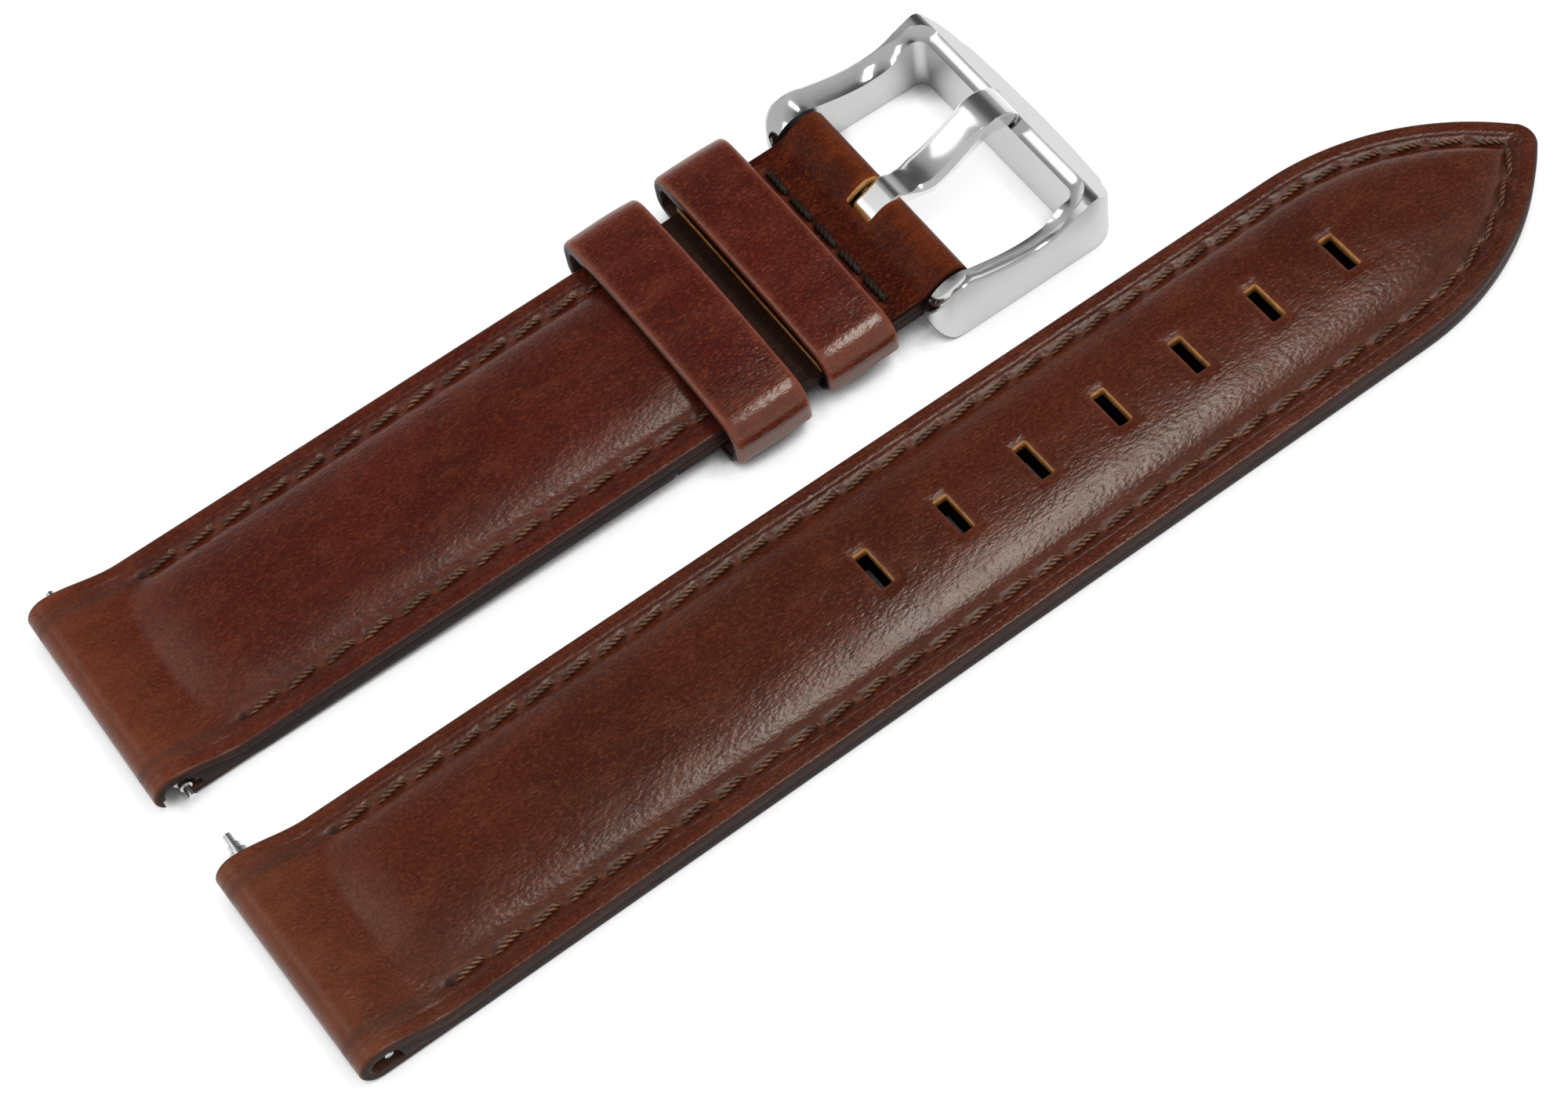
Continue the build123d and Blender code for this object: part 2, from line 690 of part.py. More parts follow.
nodes = {}
for name, solid in zip(("upper", "padding", "lining"), buckle_leather()):
    nodes["buckle_strap_" + name] = lay_strap * solid
nodes["buckle_end_flap"] = lay_strap * buckle_flap()
nodes["buckle_strap_stitch_far"] = lay_strap * side_seam(1)
nodes["buckle_strap_stitch_near"] = lay_strap * side_seam(-1)
nodes["buckle_end_cross_stitch"] = lay_strap * cross_seam()
nodes["fixed_keeper"] = lay_strap * keeper(
    fixed_keeper_x, fixed_keeper_length, 0, fixed_keeper_shoulder, fixed_keeper_top, fixed_keeper_shift
)
nodes["free_keeper"] = lay_strap * keeper(
    free_keeper_x, free_keeper_length, -keeper_clearance, free_keeper_shoulder, free_keeper_top, 0
)
nodes["buckle_frame"] = lay_hardware * buckle_frame()
nodes["buckle_tongue"] = lay_hardware * buckle_tongue()
for name, solid in zip(("tube", "pin_far", "pin_near", "spring"), buckle_bar()):
    nodes["buckle_bar_" + name] = lay_buckle_bar * solid
release_names = ("tube", "fixed_pin", "plunger", "knob", "spring")
for name, solid in zip(release_names, release_bar(-1)):
    nodes["buckle_release_bar_" + name] = lay_buckle_release * solid
for name, solid in zip(("upper", "padding", "lining"), tail_leather()):
    nodes["tail_strap_" + name] = solid
nodes["tail_strap_stitch"] = tail_seam()
for name, solid in zip(release_names, release_bar(1)):
    nodes["tail_release_bar_" + name] = lay_tail_release * solid

# The origin is under the middle of the whole strap, on the table
bounds = Compound(list(nodes.values())).bounding_box()
to_origin = Pos(-bounds.center().X, -bounds.center().Y, -bounds.min.Z)

for name, solid in nodes.items():
    export_step(to_origin * solid, "parts/" + name + ".step")

for title, spot in (("buckle bar", lay_buckle_bar), ("buckle release bar", lay_buckle_release),
                    ("tail release bar", lay_tail_release), ("strap", lay_strap)):
    place = to_origin * spot
    print(title, "at", place.position, "turned", place.orientation)
print("tilt", round(degrees(tilt), 3), "axis height", round(axis_z, 3), "tip arc", round(tip_arc_radius, 2))
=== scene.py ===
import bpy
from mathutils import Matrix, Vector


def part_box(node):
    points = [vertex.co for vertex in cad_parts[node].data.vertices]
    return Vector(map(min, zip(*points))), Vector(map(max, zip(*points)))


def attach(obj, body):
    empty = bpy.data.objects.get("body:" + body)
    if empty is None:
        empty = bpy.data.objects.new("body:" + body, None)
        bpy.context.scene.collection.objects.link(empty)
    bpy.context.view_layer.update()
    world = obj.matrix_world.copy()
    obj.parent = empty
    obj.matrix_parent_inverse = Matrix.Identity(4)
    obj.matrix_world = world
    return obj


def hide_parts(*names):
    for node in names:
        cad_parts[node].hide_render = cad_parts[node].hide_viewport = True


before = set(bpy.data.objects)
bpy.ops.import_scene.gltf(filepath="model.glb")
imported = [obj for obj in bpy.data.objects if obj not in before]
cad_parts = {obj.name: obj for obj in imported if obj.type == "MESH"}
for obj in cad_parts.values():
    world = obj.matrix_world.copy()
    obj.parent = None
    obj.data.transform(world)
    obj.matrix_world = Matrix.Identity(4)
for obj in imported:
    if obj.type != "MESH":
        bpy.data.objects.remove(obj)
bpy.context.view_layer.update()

from math import asin, atan2, cos, hypot, pi, radians, sin, sqrt

import bmesh
import bpy
import numpy as np
from mathutils import Matrix, Vector, noise

MM = 0.001

# Sizes of the leather, in millimetres, in the frame of each half: x from the lug fold
strap_width = 20.0
half_width = strap_width / 2
tip_half_width = 9.7
upper_thickness = 0.9
lining_thickness = 1.2
flap_thickness = 0.8
margin_z = upper_thickness + lining_thickness
crown_rise = 1.2
crown_foot = 2.6
crown_power = 2.5
crown_end_x = 57.7
crown_fade = 6.6
channel_radius = 0.85
lug_radius = channel_radius + upper_thickness
lug_top = 2 * lug_radius
lug_bar_x = 2.6
taper_x = 8.0
turned_under_x = 9.0
edge_round = 0.3
inner_round = 0.14
seam_inset = 2.2
seam_depth = 0.16
crease_inset = 1.3
crease_depth = 0.04
seam_band = 3.4
knob_cut_long = (1.75, 2.3)
knob_cut_wide = (2.2, 3.35)

# Tail half
tail_length = 118.4
tip_x = 99.0
nose_radius = 2.0
slot_x = [98.4 - 7.6 * i for i in range(7)]
slot_along = 1.3
slot_across = 3.7

# Buckle half
upper_end_x = 58.3
lining_end_x = 70.6
flap_top_x = 60.7
flap_under_x = 47.0
fold_rise_x = 70.25
bar_x = 73.45
fold_inner_radius = 0.85
fold_outer_radius = 1.65
bar_z = fold_outer_radius
flap_top_z = lining_thickness + flap_thickness
tongue_slot_width = 3.0
tongue_slot_x = 71.4

# Seams
stitch_start_x = 9.2
stitch_pitch = 3.4
buckle_stitch_count = 14
stitch_length = 2.8
thread_radius = 0.25
stitch_slant = radians(9)
cross_stitch_x = 68.3
cross_stitch_pitch = 3.35
cross_spread = 1.45
cross_length = 2.9
knot_x = stitch_start_x - 0.15

# Keepers: x, length, bottom, shoulder, top, shift across
keeper_wall = 1.2
keeper_half = 11.3
free_keeper_sizes = (51.2, 7.0, -0.15, 2.75, 3.5, 0.0)
fixed_keeper_sizes = (60.5, 6.7, 0.0, 2.3, 2.9, 0.85)

# Buckle, from the bar axis
frame_inner = 10.3
frame_outer = 12.35
frame_front = 16.25
front_bow = 1.25
side_taper = 0.25
bow_x = frame_front - front_bow
bow_y = frame_outer - side_taper
frame_rear = 3.1
front_corner = 3.0
rear_corner = 1.6
window_front = 11.9
window_corner = 1.0
ridge_z = 2.45
ridge_round = 0.1375
ear_z = 1.95
ear_x = 1.3
heel_x = -0.4
dip_x = 8.7
dip_z = 1.2
nose_z_above_floor = 1.9
nose_round = 1.1
bevel_start_z = 1.8
front_band = 1.1
arm_shoulder = 0.25
arm_band_rise = 0.75
notch_z = ridge_z - 0.35
pin_hole_radius = 0.39
pin_hole_depth = 1.15
tongue_length = 12.9
tongue_peak = 3.86
tongue_bore_radius = 0.79

# How the halves lie, worked out as in the solid model
tilt = asin((keeper_wall - free_keeper_sizes[2]) / (free_keeper_sizes[0] - lug_radius))
strap_lift = lug_radius * (1 - cos(tilt) - sin(tilt))
toe = radians(1.09)
halves_spacing = 28.05
axis_x = bar_x * cos(tilt) - bar_z * sin(tilt)
axis_z = bar_x * sin(tilt) + bar_z * cos(tilt) + strap_lift
tail_low, tail_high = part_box("tail_strap_upper")
tail_place = Matrix.Translation((tail_low.x, (tail_low.y + tail_high.y) / 2, 0))
half_place = tail_place @ Matrix.Translation((0, halves_spacing * MM, 0)) @ Matrix.Rotation(-toe, 4, "Z")
strap_place = half_place @ Matrix.Translation((0, 0, strap_lift * MM)) @ Matrix.Rotation(-tilt, 4, "Y")
buckle_place = half_place @ Matrix.Translation((axis_x * MM, 0, axis_z * MM))


# Mesh helpers
def new_piece(name, points, faces, kinds, materials, place, weld=2e-6):
    """A mesh from points in millimetres in its own frame. Kinds, one or a list, pick the materials."""
    mesh = bpy.data.meshes.new(name)
    matrix = np.array(place)
    placed = np.asarray(points, float) * MM @ matrix[:3, :3].T + matrix[:3, 3]
    mesh.from_pydata(placed.tolist(), [], faces)
    for material in materials:
        mesh.materials.append(material)
    mesh.polygons.foreach_set("material_index", np.full(len(faces), kinds, np.int32))
    made = bmesh.new()
    made.from_mesh(mesh)
    bmesh.ops.remove_doubles(made, verts=made.verts, dist=weld)
    bmesh.ops.recalc_face_normals(made, faces=made.faces)
    made.to_mesh(mesh)
    made.free()
    mesh.polygons.foreach_set("use_smooth", [True] * len(mesh.polygons))
    piece = bpy.data.objects.new(name, mesh)
    bpy.context.scene.collection.objects.link(piece)
    return piece


def strip_body(outer, inner, kinds):
    """A closed body between two [line, place] grids of matching points.

    kinds are the material numbers of the outer face, the inner face, the ends and the cut edges."""
    lines, places = outer.shape[:2]
    ring = np.concatenate([outer, inner[:, ::-1]], axis=1)
    count = 2 * places
    index = np.arange(lines * count).reshape(lines, count)
    after = np.roll(index, -1, axis=1)
    quads = np.stack([index[:-1], after[:-1], after[1:], index[1:]], axis=-1)
    kind_row = np.full(count, kinds[1])
    kind_row[: places - 1] = kinds[0]
    kind_row[places - 1] = kinds[2]
    kind_row[-1] = kinds[2]
    faces = quads.reshape(-1, 4).tolist()
    face_kinds = np.tile(kind_row, lines - 1).tolist()
    for line in (0, lines - 1):
        row = index[line]
        for i in range(places - 1):
            faces.append([row[i], row[i + 1], row[count - 2 - i], row[count - 1 - i]])
            face_kinds.append(kinds[3])
    return ring.reshape(-1, 3), faces, face_kinds


def loop_body(rings, close_path=False):
    """Points and quads of a tube through rings of points; its ends are capped unless the path closes."""
    rings = np.asarray(rings, float)
    steps, count = rings.shape[:2]
    index = np.arange(steps * count).reshape(steps, count)
    after = np.roll(index, -1, axis=1)
    if close_path:
        onward = np.roll(index, -1, axis=0)
        onward_after = np.roll(after, -1, axis=0)
        quads = np.stack([index, after, onward_after, onward], axis=-1)
        return rings.reshape(-1, 3), quads.reshape(-1, 4).tolist()
    quads = np.stack([index[:-1], after[:-1], after[1:], index[1:]], axis=-1).reshape(-1, 4).tolist()
    return rings.reshape(-1, 3), quads + [index[0].tolist()[::-1], index[-1].tolist()]


def ripple(x, y, size, height, seed):
    """Gentle unevenness over a plan, in millimetres, the same each run."""
    offset = Vector((seed, 2 * seed, 3 * seed))
    points = np.stack([x, y, 0 * x], axis=-1).reshape(-1, 3)
    return np.array([height * noise.noise(Vector(p) / size + offset) for p in points]).reshape(x.shape)


def smooth_step(x, start, end):
    t = np.clip((x - start) / (end - start), 0, 1)
    return t * t * (3 - 2 * t)


def smooth_max(a, b, width):
    """The larger of two surfaces, with a soft valley where they meet."""
    return (a + b + np.sqrt((a - b) ** 2 + width**2)) / 2


def bell(value, centre, width):
    """1 at the centre, falling to 0 on both sides."""
    return np.exp(-(((value - centre) / width) ** 2))


def spline(xs, zs, x):
    """A smooth curve through the given points, at x."""
    xs = np.asarray(xs, float)
    zs = np.asarray(zs, float)
    count = len(xs)
    step = np.diff(xs)
    rise = np.diff(zs) / step
    system = np.zeros((count, count))
    right = np.zeros(count)
    system[0, :2] = 2, 1
    right[0] = 3 * rise[0]
    system[-1, -2:] = 1, 2
    right[-1] = 3 * rise[-1]
    for i in range(1, count - 1):
        system[i, i - 1 : i + 2] = 1 / step[i - 1], 2 / step[i - 1] + 2 / step[i], 1 / step[i]
        right[i] = 3 * (rise[i - 1] / step[i - 1] + rise[i] / step[i])
    slope = np.linalg.solve(system, right)
    x = np.asarray(x, float)
    i = np.clip(np.searchsorted(xs, x) - 1, 0, count - 2)
    t = (x - xs[i]) / step[i]
    a = 2 * t**3 - 3 * t**2 + 1
    b = t**3 - 2 * t**2 + t
    return a * zs[i] + b * step[i] * slope[i] + (1 - a) * zs[i + 1] + (t**3 - t**2) * step[i] * slope[i + 1]


def box_cutter(name, centre, size, corner, material, place, depth=8.0):
    """An upright cutting block with rounded corners, centred on a point of a piece's own frame."""
    ring = []
    for quarter, (sx, sy) in enumerate(((1, 1), (-1, 1), (-1, -1), (1, -1))):
        for step in range(5):
            angle = (quarter + step / 4) * pi / 2
            x = centre[0] + sx * (size[0] / 2 - corner) + corner * cos(angle)
            y = centre[1] + sy * (size[1] / 2 - corner) + corner * sin(angle)
            ring.append((x, y))
    rings = [[(x, y, z) for x, y in ring] for z in (centre[2] - depth, centre[2] + depth)]
    return new_piece(name, *loop_body(rings), 0, [material], place)


def rod_cutter(name, radius, ends, steps, material, place):
    """A round cutting bar along y."""
    turns = [2 * pi * k / steps for k in range(steps)]
    rings = [[(radius * cos(turn), y, radius * sin(turn)) for turn in turns] for y in ends]
    return new_piece(name, *loop_body(rings), 0, [material], place)


def punch(piece, cutters):
    """Cuts the cutters out of a piece. The cutters' material goes to the walls where it can."""
    for cutter in cutters:
        cut = piece.modifiers.new("cut", "BOOLEAN")
        cut.operation = "DIFFERENCE"
        cut.solver = "EXACT"
        cut.material_mode = "TRANSFER"
        cut.object = cutter
    graph = bpy.context.evaluated_depsgraph_get()
    mesh = bpy.data.meshes.new_from_object(piece.evaluated_get(graph))
    piece.modifiers.clear()
    old = piece.data
    piece.data = mesh
    bpy.data.meshes.remove(old)


def discard(pieces):
    for piece in pieces:
        bpy.data.objects.remove(piece)


def set_attribute(piece, name, values):
    layer = piece.data.attributes.new(name, "FLOAT", "POINT")
    layer.data.foreach_set("value", np.asarray(values, np.float32))


def own_points(piece, place):
    """The piece's points back in millimetres in its own frame."""
    points = np.zeros(len(piece.data.vertices) * 3, np.float32)
    piece.data.vertices.foreach_get("co", points)
    matrix = np.array(place.inverted())
    return (points.reshape(-1, 3) @ matrix[:3, :3].T + matrix[:3, 3]) / MM


# Materials
def fill(tree, socket, value):
    """Links an output to a socket, or sets the socket to a number, a vector or a colour."""
    if isinstance(value, bpy.types.NodeSocket):
        tree.links.new(value, socket)
    elif socket.type == "RGBA":
        socket.default_value = (*value, 1)
    else:
        socket.default_value = value


def node(tree, kind, settings=None, **values):
    """A shader node with its values filled in. Underscores stand for spaces."""
    made = tree.nodes.new("ShaderNode" + kind)
    for key, value in (settings or {}).items():
        setattr(made, key, value)
    for key, value in values.items():
        fill(tree, made.inputs[key.replace("_", " ")], value)
    return made


def mix(tree, factor, a, b):
    made = node(tree, "Mix", {"data_type": "RGBA"})
    for number, value in ((0, factor), (6, a), (7, b)):
        fill(tree, made.inputs[number], value)
    return made.outputs[2]


def maths(tree, operation, a, b):
    made = node(tree, "Math", {"operation": operation})
    fill(tree, made.inputs[0], a)
    fill(tree, made.inputs[1], b)
    return made.outputs[0]


def span(tree, value, low, high, to_low=0.0, to_high=1.0):
    """The value carried from one range to another, and kept inside it."""
    made = node(tree, "MapRange", Value=value, From_Min=low, From_Max=high, To_Min=to_low, To_Max=to_high)
    return made.outputs[0]


def speckle(tree, where, scale, detail, roughness=0.5, distortion=0.0):
    """Noise from 0 to 1."""
    values = {"Scale": scale, "Detail": detail, "Roughness": roughness, "Distortion": distortion}
    return node(tree, "TexNoise", Vector=where, **values).outputs["Fac"]


def attribute(tree, name):
    return node(tree, "Attribute", {"attribute_name": name}).outputs["Fac"]


def start_material(name):
    """A material, its node tree and its object coordinates."""
    material = bpy.data.materials.new(name)
    material.use_nodes = True
    tree = material.node_tree
    return material, tree, tree.nodes.new("ShaderNodeTexCoord").outputs["Object"]


def finish_shader(tree, colour, roughness, bump, **more):
    """Feeds the material's shader. Underscores stand for spaces."""
    shader = tree.nodes["Principled BSDF"]
    fill(tree, shader.inputs["Base Color"], colour)
    fill(tree, shader.inputs["Roughness"], roughness)
    fill(tree, shader.inputs["Normal"], bump.outputs["Normal"])
    for key, value in more.items():
        fill(tree, shader.inputs[key.replace("_", " ")], value)


def leather(name, deep, base, light, gloss, grain=1.0, mottle=1.0, shine=0.4):
    """Oiled pull-up leather: fine pebbled grain, dark pores, orange flecks, lighter where it is bent."""
    material, tree, where = start_material(name)
    along = node(tree, "Mapping", Vector=where, Scale=(0.5, 1.0, 1.0)).outputs["Vector"]
    clouds = speckle(tree, where, 95.0, 4.0, 0.55)
    patches = speckle(tree, along, 520.0, 4.0, 0.62)
    flecks = speckle(tree, along, 5200.0, 3.0, 0.6)
    creases = speckle(tree, along, 1500.0, 4.0, distortion=1.2)
    cells = node(tree, "TexVoronoi", {"feature": "SMOOTH_F1"}, Vector=along, Scale=4600.0)
    bent = attribute(tree, "bent")
    shade = attribute(tree, "shade")
    colour = mix(tree, span(tree, clouds, 0.34, 0.66, 0.4, 1.0), deep, base)
    colour = mix(tree, span(tree, patches, 0.48, 0.8, 0.0, 0.32 * mottle), colour, light)
    colour = mix(tree, span(tree, flecks, 0.54, 0.66, 0.0, 0.5), colour, light)
    colour = mix(tree, span(tree, flecks, 0.47, 0.36, 0.0, 0.75), colour, deep)
    colour = mix(tree, span(tree, creases, 0.42, 0.34, 0.0, 0.35), colour, deep)
    worn = maths(tree, "MULTIPLY", bent, span(tree, patches, 0.25, 0.7, 0.55, 1.1))
    worn = maths(tree, "MULTIPLY", worn, span(tree, flecks, 0.3, 0.7, 0.7, 1.15))
    colour = mix(tree, maths(tree, "MINIMUM", worn, 0.95), colour, light)
    # Painted shade: darker where the shade attribute marks grooves, creases and stitch holes
    colour = mix(tree, shade, colour, [0.3 * channel for channel in deep])
    pebbles = maths(tree, "MULTIPLY", cells.outputs["Distance"], -0.8)
    height = maths(tree, "ADD", pebbles, maths(tree, "MULTIPLY", flecks, 0.7))
    broad = node(tree, "Bump", Height=creases, Strength=0.26 * grain, Distance=0.12 * MM).outputs["Normal"]
    bump = node(tree, "Bump", Height=height, Strength=0.42 * grain, Distance=0.05 * MM, Normal=broad)
    dull = maths(tree, "ADD", maths(tree, "MULTIPLY", bent, 0.12), maths(tree, "MULTIPLY", shade, 0.5))
    rough = maths(tree, "ADD", span(tree, patches, 0.3, 0.7, gloss - 0.03, gloss + 0.05), dull)
    finish_shader(tree, colour, rough, bump, Specular_IOR_Level=shine, Specular_Tint=(1.0, 0.95, 0.84))
    return material


def edge_paint():
    """Dark brown resin on the cut edges, smooth with faint unevenness."""
    material, tree, where = start_material("edge_paint")
    blotch = speckle(tree, where, 900.0, 3.0)
    fine = speckle(tree, where, 5200.0, 2.0)
    colour = mix(tree, span(tree, blotch, 0.3, 0.7), (0.008, 0.0036, 0.0028), (0.022, 0.0095, 0.0070))
    height = maths(tree, "ADD", blotch, maths(tree, "MULTIPLY", fine, 0.4))
    bump = node(tree, "Bump", Height=height, Strength=0.3, Distance=0.1 * MM)
    finish_shader(tree, colour, span(tree, fine, 0.3, 0.7, 0.34, 0.5), bump, IOR=1.18)
    return material


def raw_cut_and_shade():
    """A fibrous cut through leather: tan near the top, with painted shade that turns it near-black deep in a
    slot.
    """
    material, tree, where = start_material("raw_cut_and_shade")
    fibre = speckle(tree, where, 2300.0, 6.0, 0.75)
    stain = span(tree, speckle(tree, where, 700.0, 3.0), 0.5, 0.3, 0.0, 0.5)
    colour = mix(tree, span(tree, fibre, 0.3, 0.7), (0.46, 0.19, 0.05), (0.90, 0.50, 0.19))
    colour = mix(tree, stain, colour, (0.22, 0.075, 0.02))
    height = node(tree, "SeparateXYZ", Vector=where).outputs["Z"]
    ragged_shade_line = maths(tree, "ADD", height, span(tree, fibre, 0.3, 0.7, -0.3 * MM, 0.3 * MM))
    # Painted shade: near-black below about 2 mm above the table, deep in the slots and notches
    colour = mix(tree, span(tree, ragged_shade_line, 1.8 * MM, 2.0 * MM), (0.006, 0.003, 0.002), colour)
    bump = node(tree, "Bump", Height=fibre, Strength=0.8, Distance=0.14 * MM)
    finish_shader(tree, colour, 0.85, bump, Specular_IOR_Level=0.05)
    return material


def suede(name, dark, pale):
    """The napped flesh side of the lining and of the keepers' insides."""
    material, tree, where = start_material(name)
    nap = speckle(tree, where, 1900.0, 5.0, 0.7)
    cloud = speckle(tree, where, 190.0, 4.0)
    colour = mix(tree, span(tree, nap, 0.3, 0.7), dark, pale)
    colour = mix(tree, span(tree, cloud, 0.4, 0.7, 0.0, 0.4), colour, dark)
    bump = node(tree, "Bump", Height=nap, Strength=0.5, Distance=0.08 * MM)
    finish_shader(tree, colour, 0.8, bump, Specular_IOR_Level=0.25, Sheen_Weight=0.15)
    return material


def thread(name, strand_shade_colour, strand_highlight_colour):
    """Waxed three-strand thread, with painted shade between its strands and a painted highlight on their
    backs.
    """
    material, tree, where = start_material(name)
    fibre = speckle(tree, where, 5200.0, 3.0)
    patch = speckle(tree, where, 420.0, 2.0)
    # Painted highlight on the strands' backs, painted shade between the strands
    back = maths(tree, "MULTIPLY", attribute(tree, "strand"), span(tree, patch, 0.35, 0.65, 0.35, 1.0))
    colour = mix(tree, back, strand_shade_colour, strand_highlight_colour)
    colour = mix(tree, span(tree, fibre, 0.5, 0.3, 0.0, 0.5), colour, strand_shade_colour)
    bump = node(tree, "Bump", Height=fibre, Strength=0.4, Distance=0.05 * MM)
    finish_shader(tree, colour, 0.5, bump, Specular_IOR_Level=0.25)
    return material


def steel(name, tone, low, high, brush=0.0, stretch=(1.0, 1.0, 1.0)):
    """Steel, from mirror to satin; brush gives fine lines along the stretched direction."""
    material, tree, where = start_material(name)
    along = node(tree, "Mapping", Vector=where, Scale=stretch).outputs["Vector"]
    lines = speckle(tree, along, 5200.0, 4.0, 0.7)
    haze = speckle(tree, where, 330.0, 4.0)
    shade = mix(tree, span(tree, haze, 0.3, 0.7), (tone * 0.93,) * 3, (tone, tone, tone * 0.995))
    rough = span(tree, maths(tree, "ADD", lines, haze), 0.7, 1.3, low, high)
    bump = node(tree, "Bump", Height=lines, Strength=brush, Distance=0.01 * MM)
    finish_shader(tree, shade, rough, bump, Metallic=1.0)
    return material


# Each leather: its deep, base and light colours and its gloss
buckle_half_leather = leather(
    "buckle_half_leather", (0.040, 0.0045, 0.0024), (0.092, 0.0098, 0.0043), (0.205, 0.042, 0.011), 0.23
)
tail_half_leather = leather(
    "tail_half_leather", (0.040, 0.0066, 0.0031), (0.092, 0.0152, 0.0060), (0.195, 0.046, 0.014), 0.21
)
flap_leather = leather(
    "flap_leather", (0.026, 0.0030, 0.0014), (0.060, 0.0058, 0.0020), (0.210, 0.040, 0.007), 0.30,
    grain=1.4, mottle=1.5, shine=0.1,
)
keeper_leather = leather(
    "keeper_leather", (0.040, 0.0032, 0.0019), (0.090, 0.0066, 0.0028), (0.260, 0.046, 0.012), 0.19,
    mottle=0.9, shine=0.7,
)
under_leather = leather(
    "dark_leather", (0.016, 0.0050, 0.0030), (0.034, 0.0100, 0.0055), (0.070, 0.022, 0.010), 0.45, shine=0.2
)
lining_leather = suede("lining_leather", (0.055, 0.018, 0.009), (0.115, 0.045, 0.022))
padding_felt = suede("padding_felt", (0.17, 0.11, 0.06), (0.30, 0.20, 0.11))
paint = edge_paint()
raw_and_shade = raw_cut_and_shade()
# Each thread: the painted shade between its strands, then the painted highlight on their backs
seam_thread = thread("waxed_thread", (0.022, 0.0070, 0.0034), (0.46, 0.185, 0.078))
cross_thread = thread("dark_thread", (0.010, 0.0050, 0.0028), (0.050, 0.024, 0.012))
polished = steel("polished_steel", 0.72, 0.08, 0.16)
# Painted light: a lighter, rougher copy of the polished steel, so the tongue reads evenly bright
brightened_tongue_steel = steel("brightened_tongue_steel", 0.84, 0.14, 0.18)
satin = steel("satin_steel", 0.66, 0.30, 0.40, 0.25, (0.06, 1.0, 1.0))
bar_steel = steel("bar_steel", 0.66, 0.18, 0.32, 0.15, (1.0, 0.1, 1.0))
spring_steel = steel("spring_steel", 0.52, 0.25, 0.4, 0.2)


# The tail outline: two large arcs that meet in a small nose arc
tip_reach = tail_length - nose_radius - tip_x
tip_arc = (tip_reach**2 + tip_half_width**2 - nose_radius**2) / (2 * (tip_half_width - nose_radius))
tip_drop = tip_arc - tip_half_width
nose_x = tail_length - nose_radius
nose_lean = atan2(tip_drop, tip_reach)


def tail_width(x):
    """Half the tail's width at x."""
    side = half_width + (tip_half_width - half_width) * np.clip((x - taper_x) / (tip_x - taper_x), 0, 1)
    arc = np.sqrt(np.maximum(tip_arc**2 - np.maximum(x - tip_x, 0) ** 2, 0)) - tip_drop
    nose = np.sqrt(np.maximum(nose_radius**2 - np.maximum(x - nose_x, 0) ** 2, 0))
    joint_x = tip_x + tip_arc * cos(nose_lean)
    return np.where(x < tip_x, side, np.where(x < joint_x, arc, nose))


def tail_inset(x, y):
    """How far a point lies inside the tail's outline."""
    side = tail_width(np.minimum(x, tip_x)) - np.abs(y)
    reach = np.maximum(x - tip_x, 0)
    soft_y = np.sqrt(y * y + np.where(reach > 0, 0.16, 0.0))
    arc = tip_arc - np.hypot(reach, soft_y + tip_drop)
    nose = nose_radius - np.hypot(x - nose_x, y)
    in_nose = np.arctan2(np.abs(y), x - nose_x) < nose_lean
    return np.where(x <= tip_x, side, np.where(in_nose & (x > nose_x), nose, arc))


def tail_foot_width(x):
    """Half the width of the padded part of the tail at x."""
    straight = tail_width(np.minimum(x, tip_x)) - crown_foot
    reach = np.maximum(x - tip_x, 0)
    tip = np.sqrt(np.maximum((tip_arc - crown_foot) ** 2 - reach**2, 0)) - tip_drop
    return np.maximum(np.where(x <= tip_x, straight, tip), 0.001)


def crown_ramp(x):
    """The padding swells out of the lug end."""
    return smooth_step(x, 2.6, 11.2)


def dome(across):
    """The section of the crown: 1 in the middle, 0 at its foot."""
    return np.maximum(1 - np.clip(np.abs(across), 0, 1) ** crown_power, 0) ** 0.55


def tail_crown(x, y):
    width = tail_foot_width(x)
    full = tip_half_width - crown_foot
    swell = np.sqrt(np.clip(width / full, 0, 1))
    return crown_rise * swell * crown_ramp(x) * dome(y / (width * (0.9 + 0.1 * crown_ramp(x))))


def buckle_width(x):
    return np.full_like(x, half_width)


def buckle_inset(x, y):
    return half_width - np.abs(y)


def buckle_crown(x, y):
    fade = np.sin(pi / 2 * np.clip((crown_end_x - x) / crown_fade, 0, 1)) ** 0.9
    width = (half_width - crown_foot) * (0.9 + 0.1 * crown_ramp(x)) * (0.94 + 0.06 * fade)
    return crown_rise * fade * crown_ramp(x) * dome(y / width)


# Where the stitches lie: x, y and turn of each
def buckle_stitches(side):
    y = side * (half_width - seam_inset)
    return [(stitch_start_x + (i + 0.5) * stitch_pitch, y, stitch_slant) for i in range(buckle_stitch_count)]


def tail_stitches():
    """Along the far side, round the tip and back along the near side."""
    start = Vector((stitch_start_x, half_width - seam_inset))
    turn = Vector((tip_x, tip_half_width - seam_inset))
    radius = tip_arc - seam_inset
    sweep = asin(sqrt(radius**2 - tip_drop**2) / radius)
    straight = (turn - start).length
    total = straight + radius * sweep
    count = int(total / stitch_pitch + 0.999)
    spots = []
    for i in range(count):
        run = (i + 0.5) / count * total
        if run < straight:
            spot = start.lerp(turn, run / straight)
            angle = atan2(turn.y - start.y, turn.x - start.x)
        else:
            bend = (run - straight) / radius
            spot = Vector((tip_x + radius * sin(bend), radius * cos(bend) - tip_drop))
            angle = -bend
        for side in (1, -1):
            spots.append((spot.x, side * spot.y, side * angle + stitch_slant))
    return spots


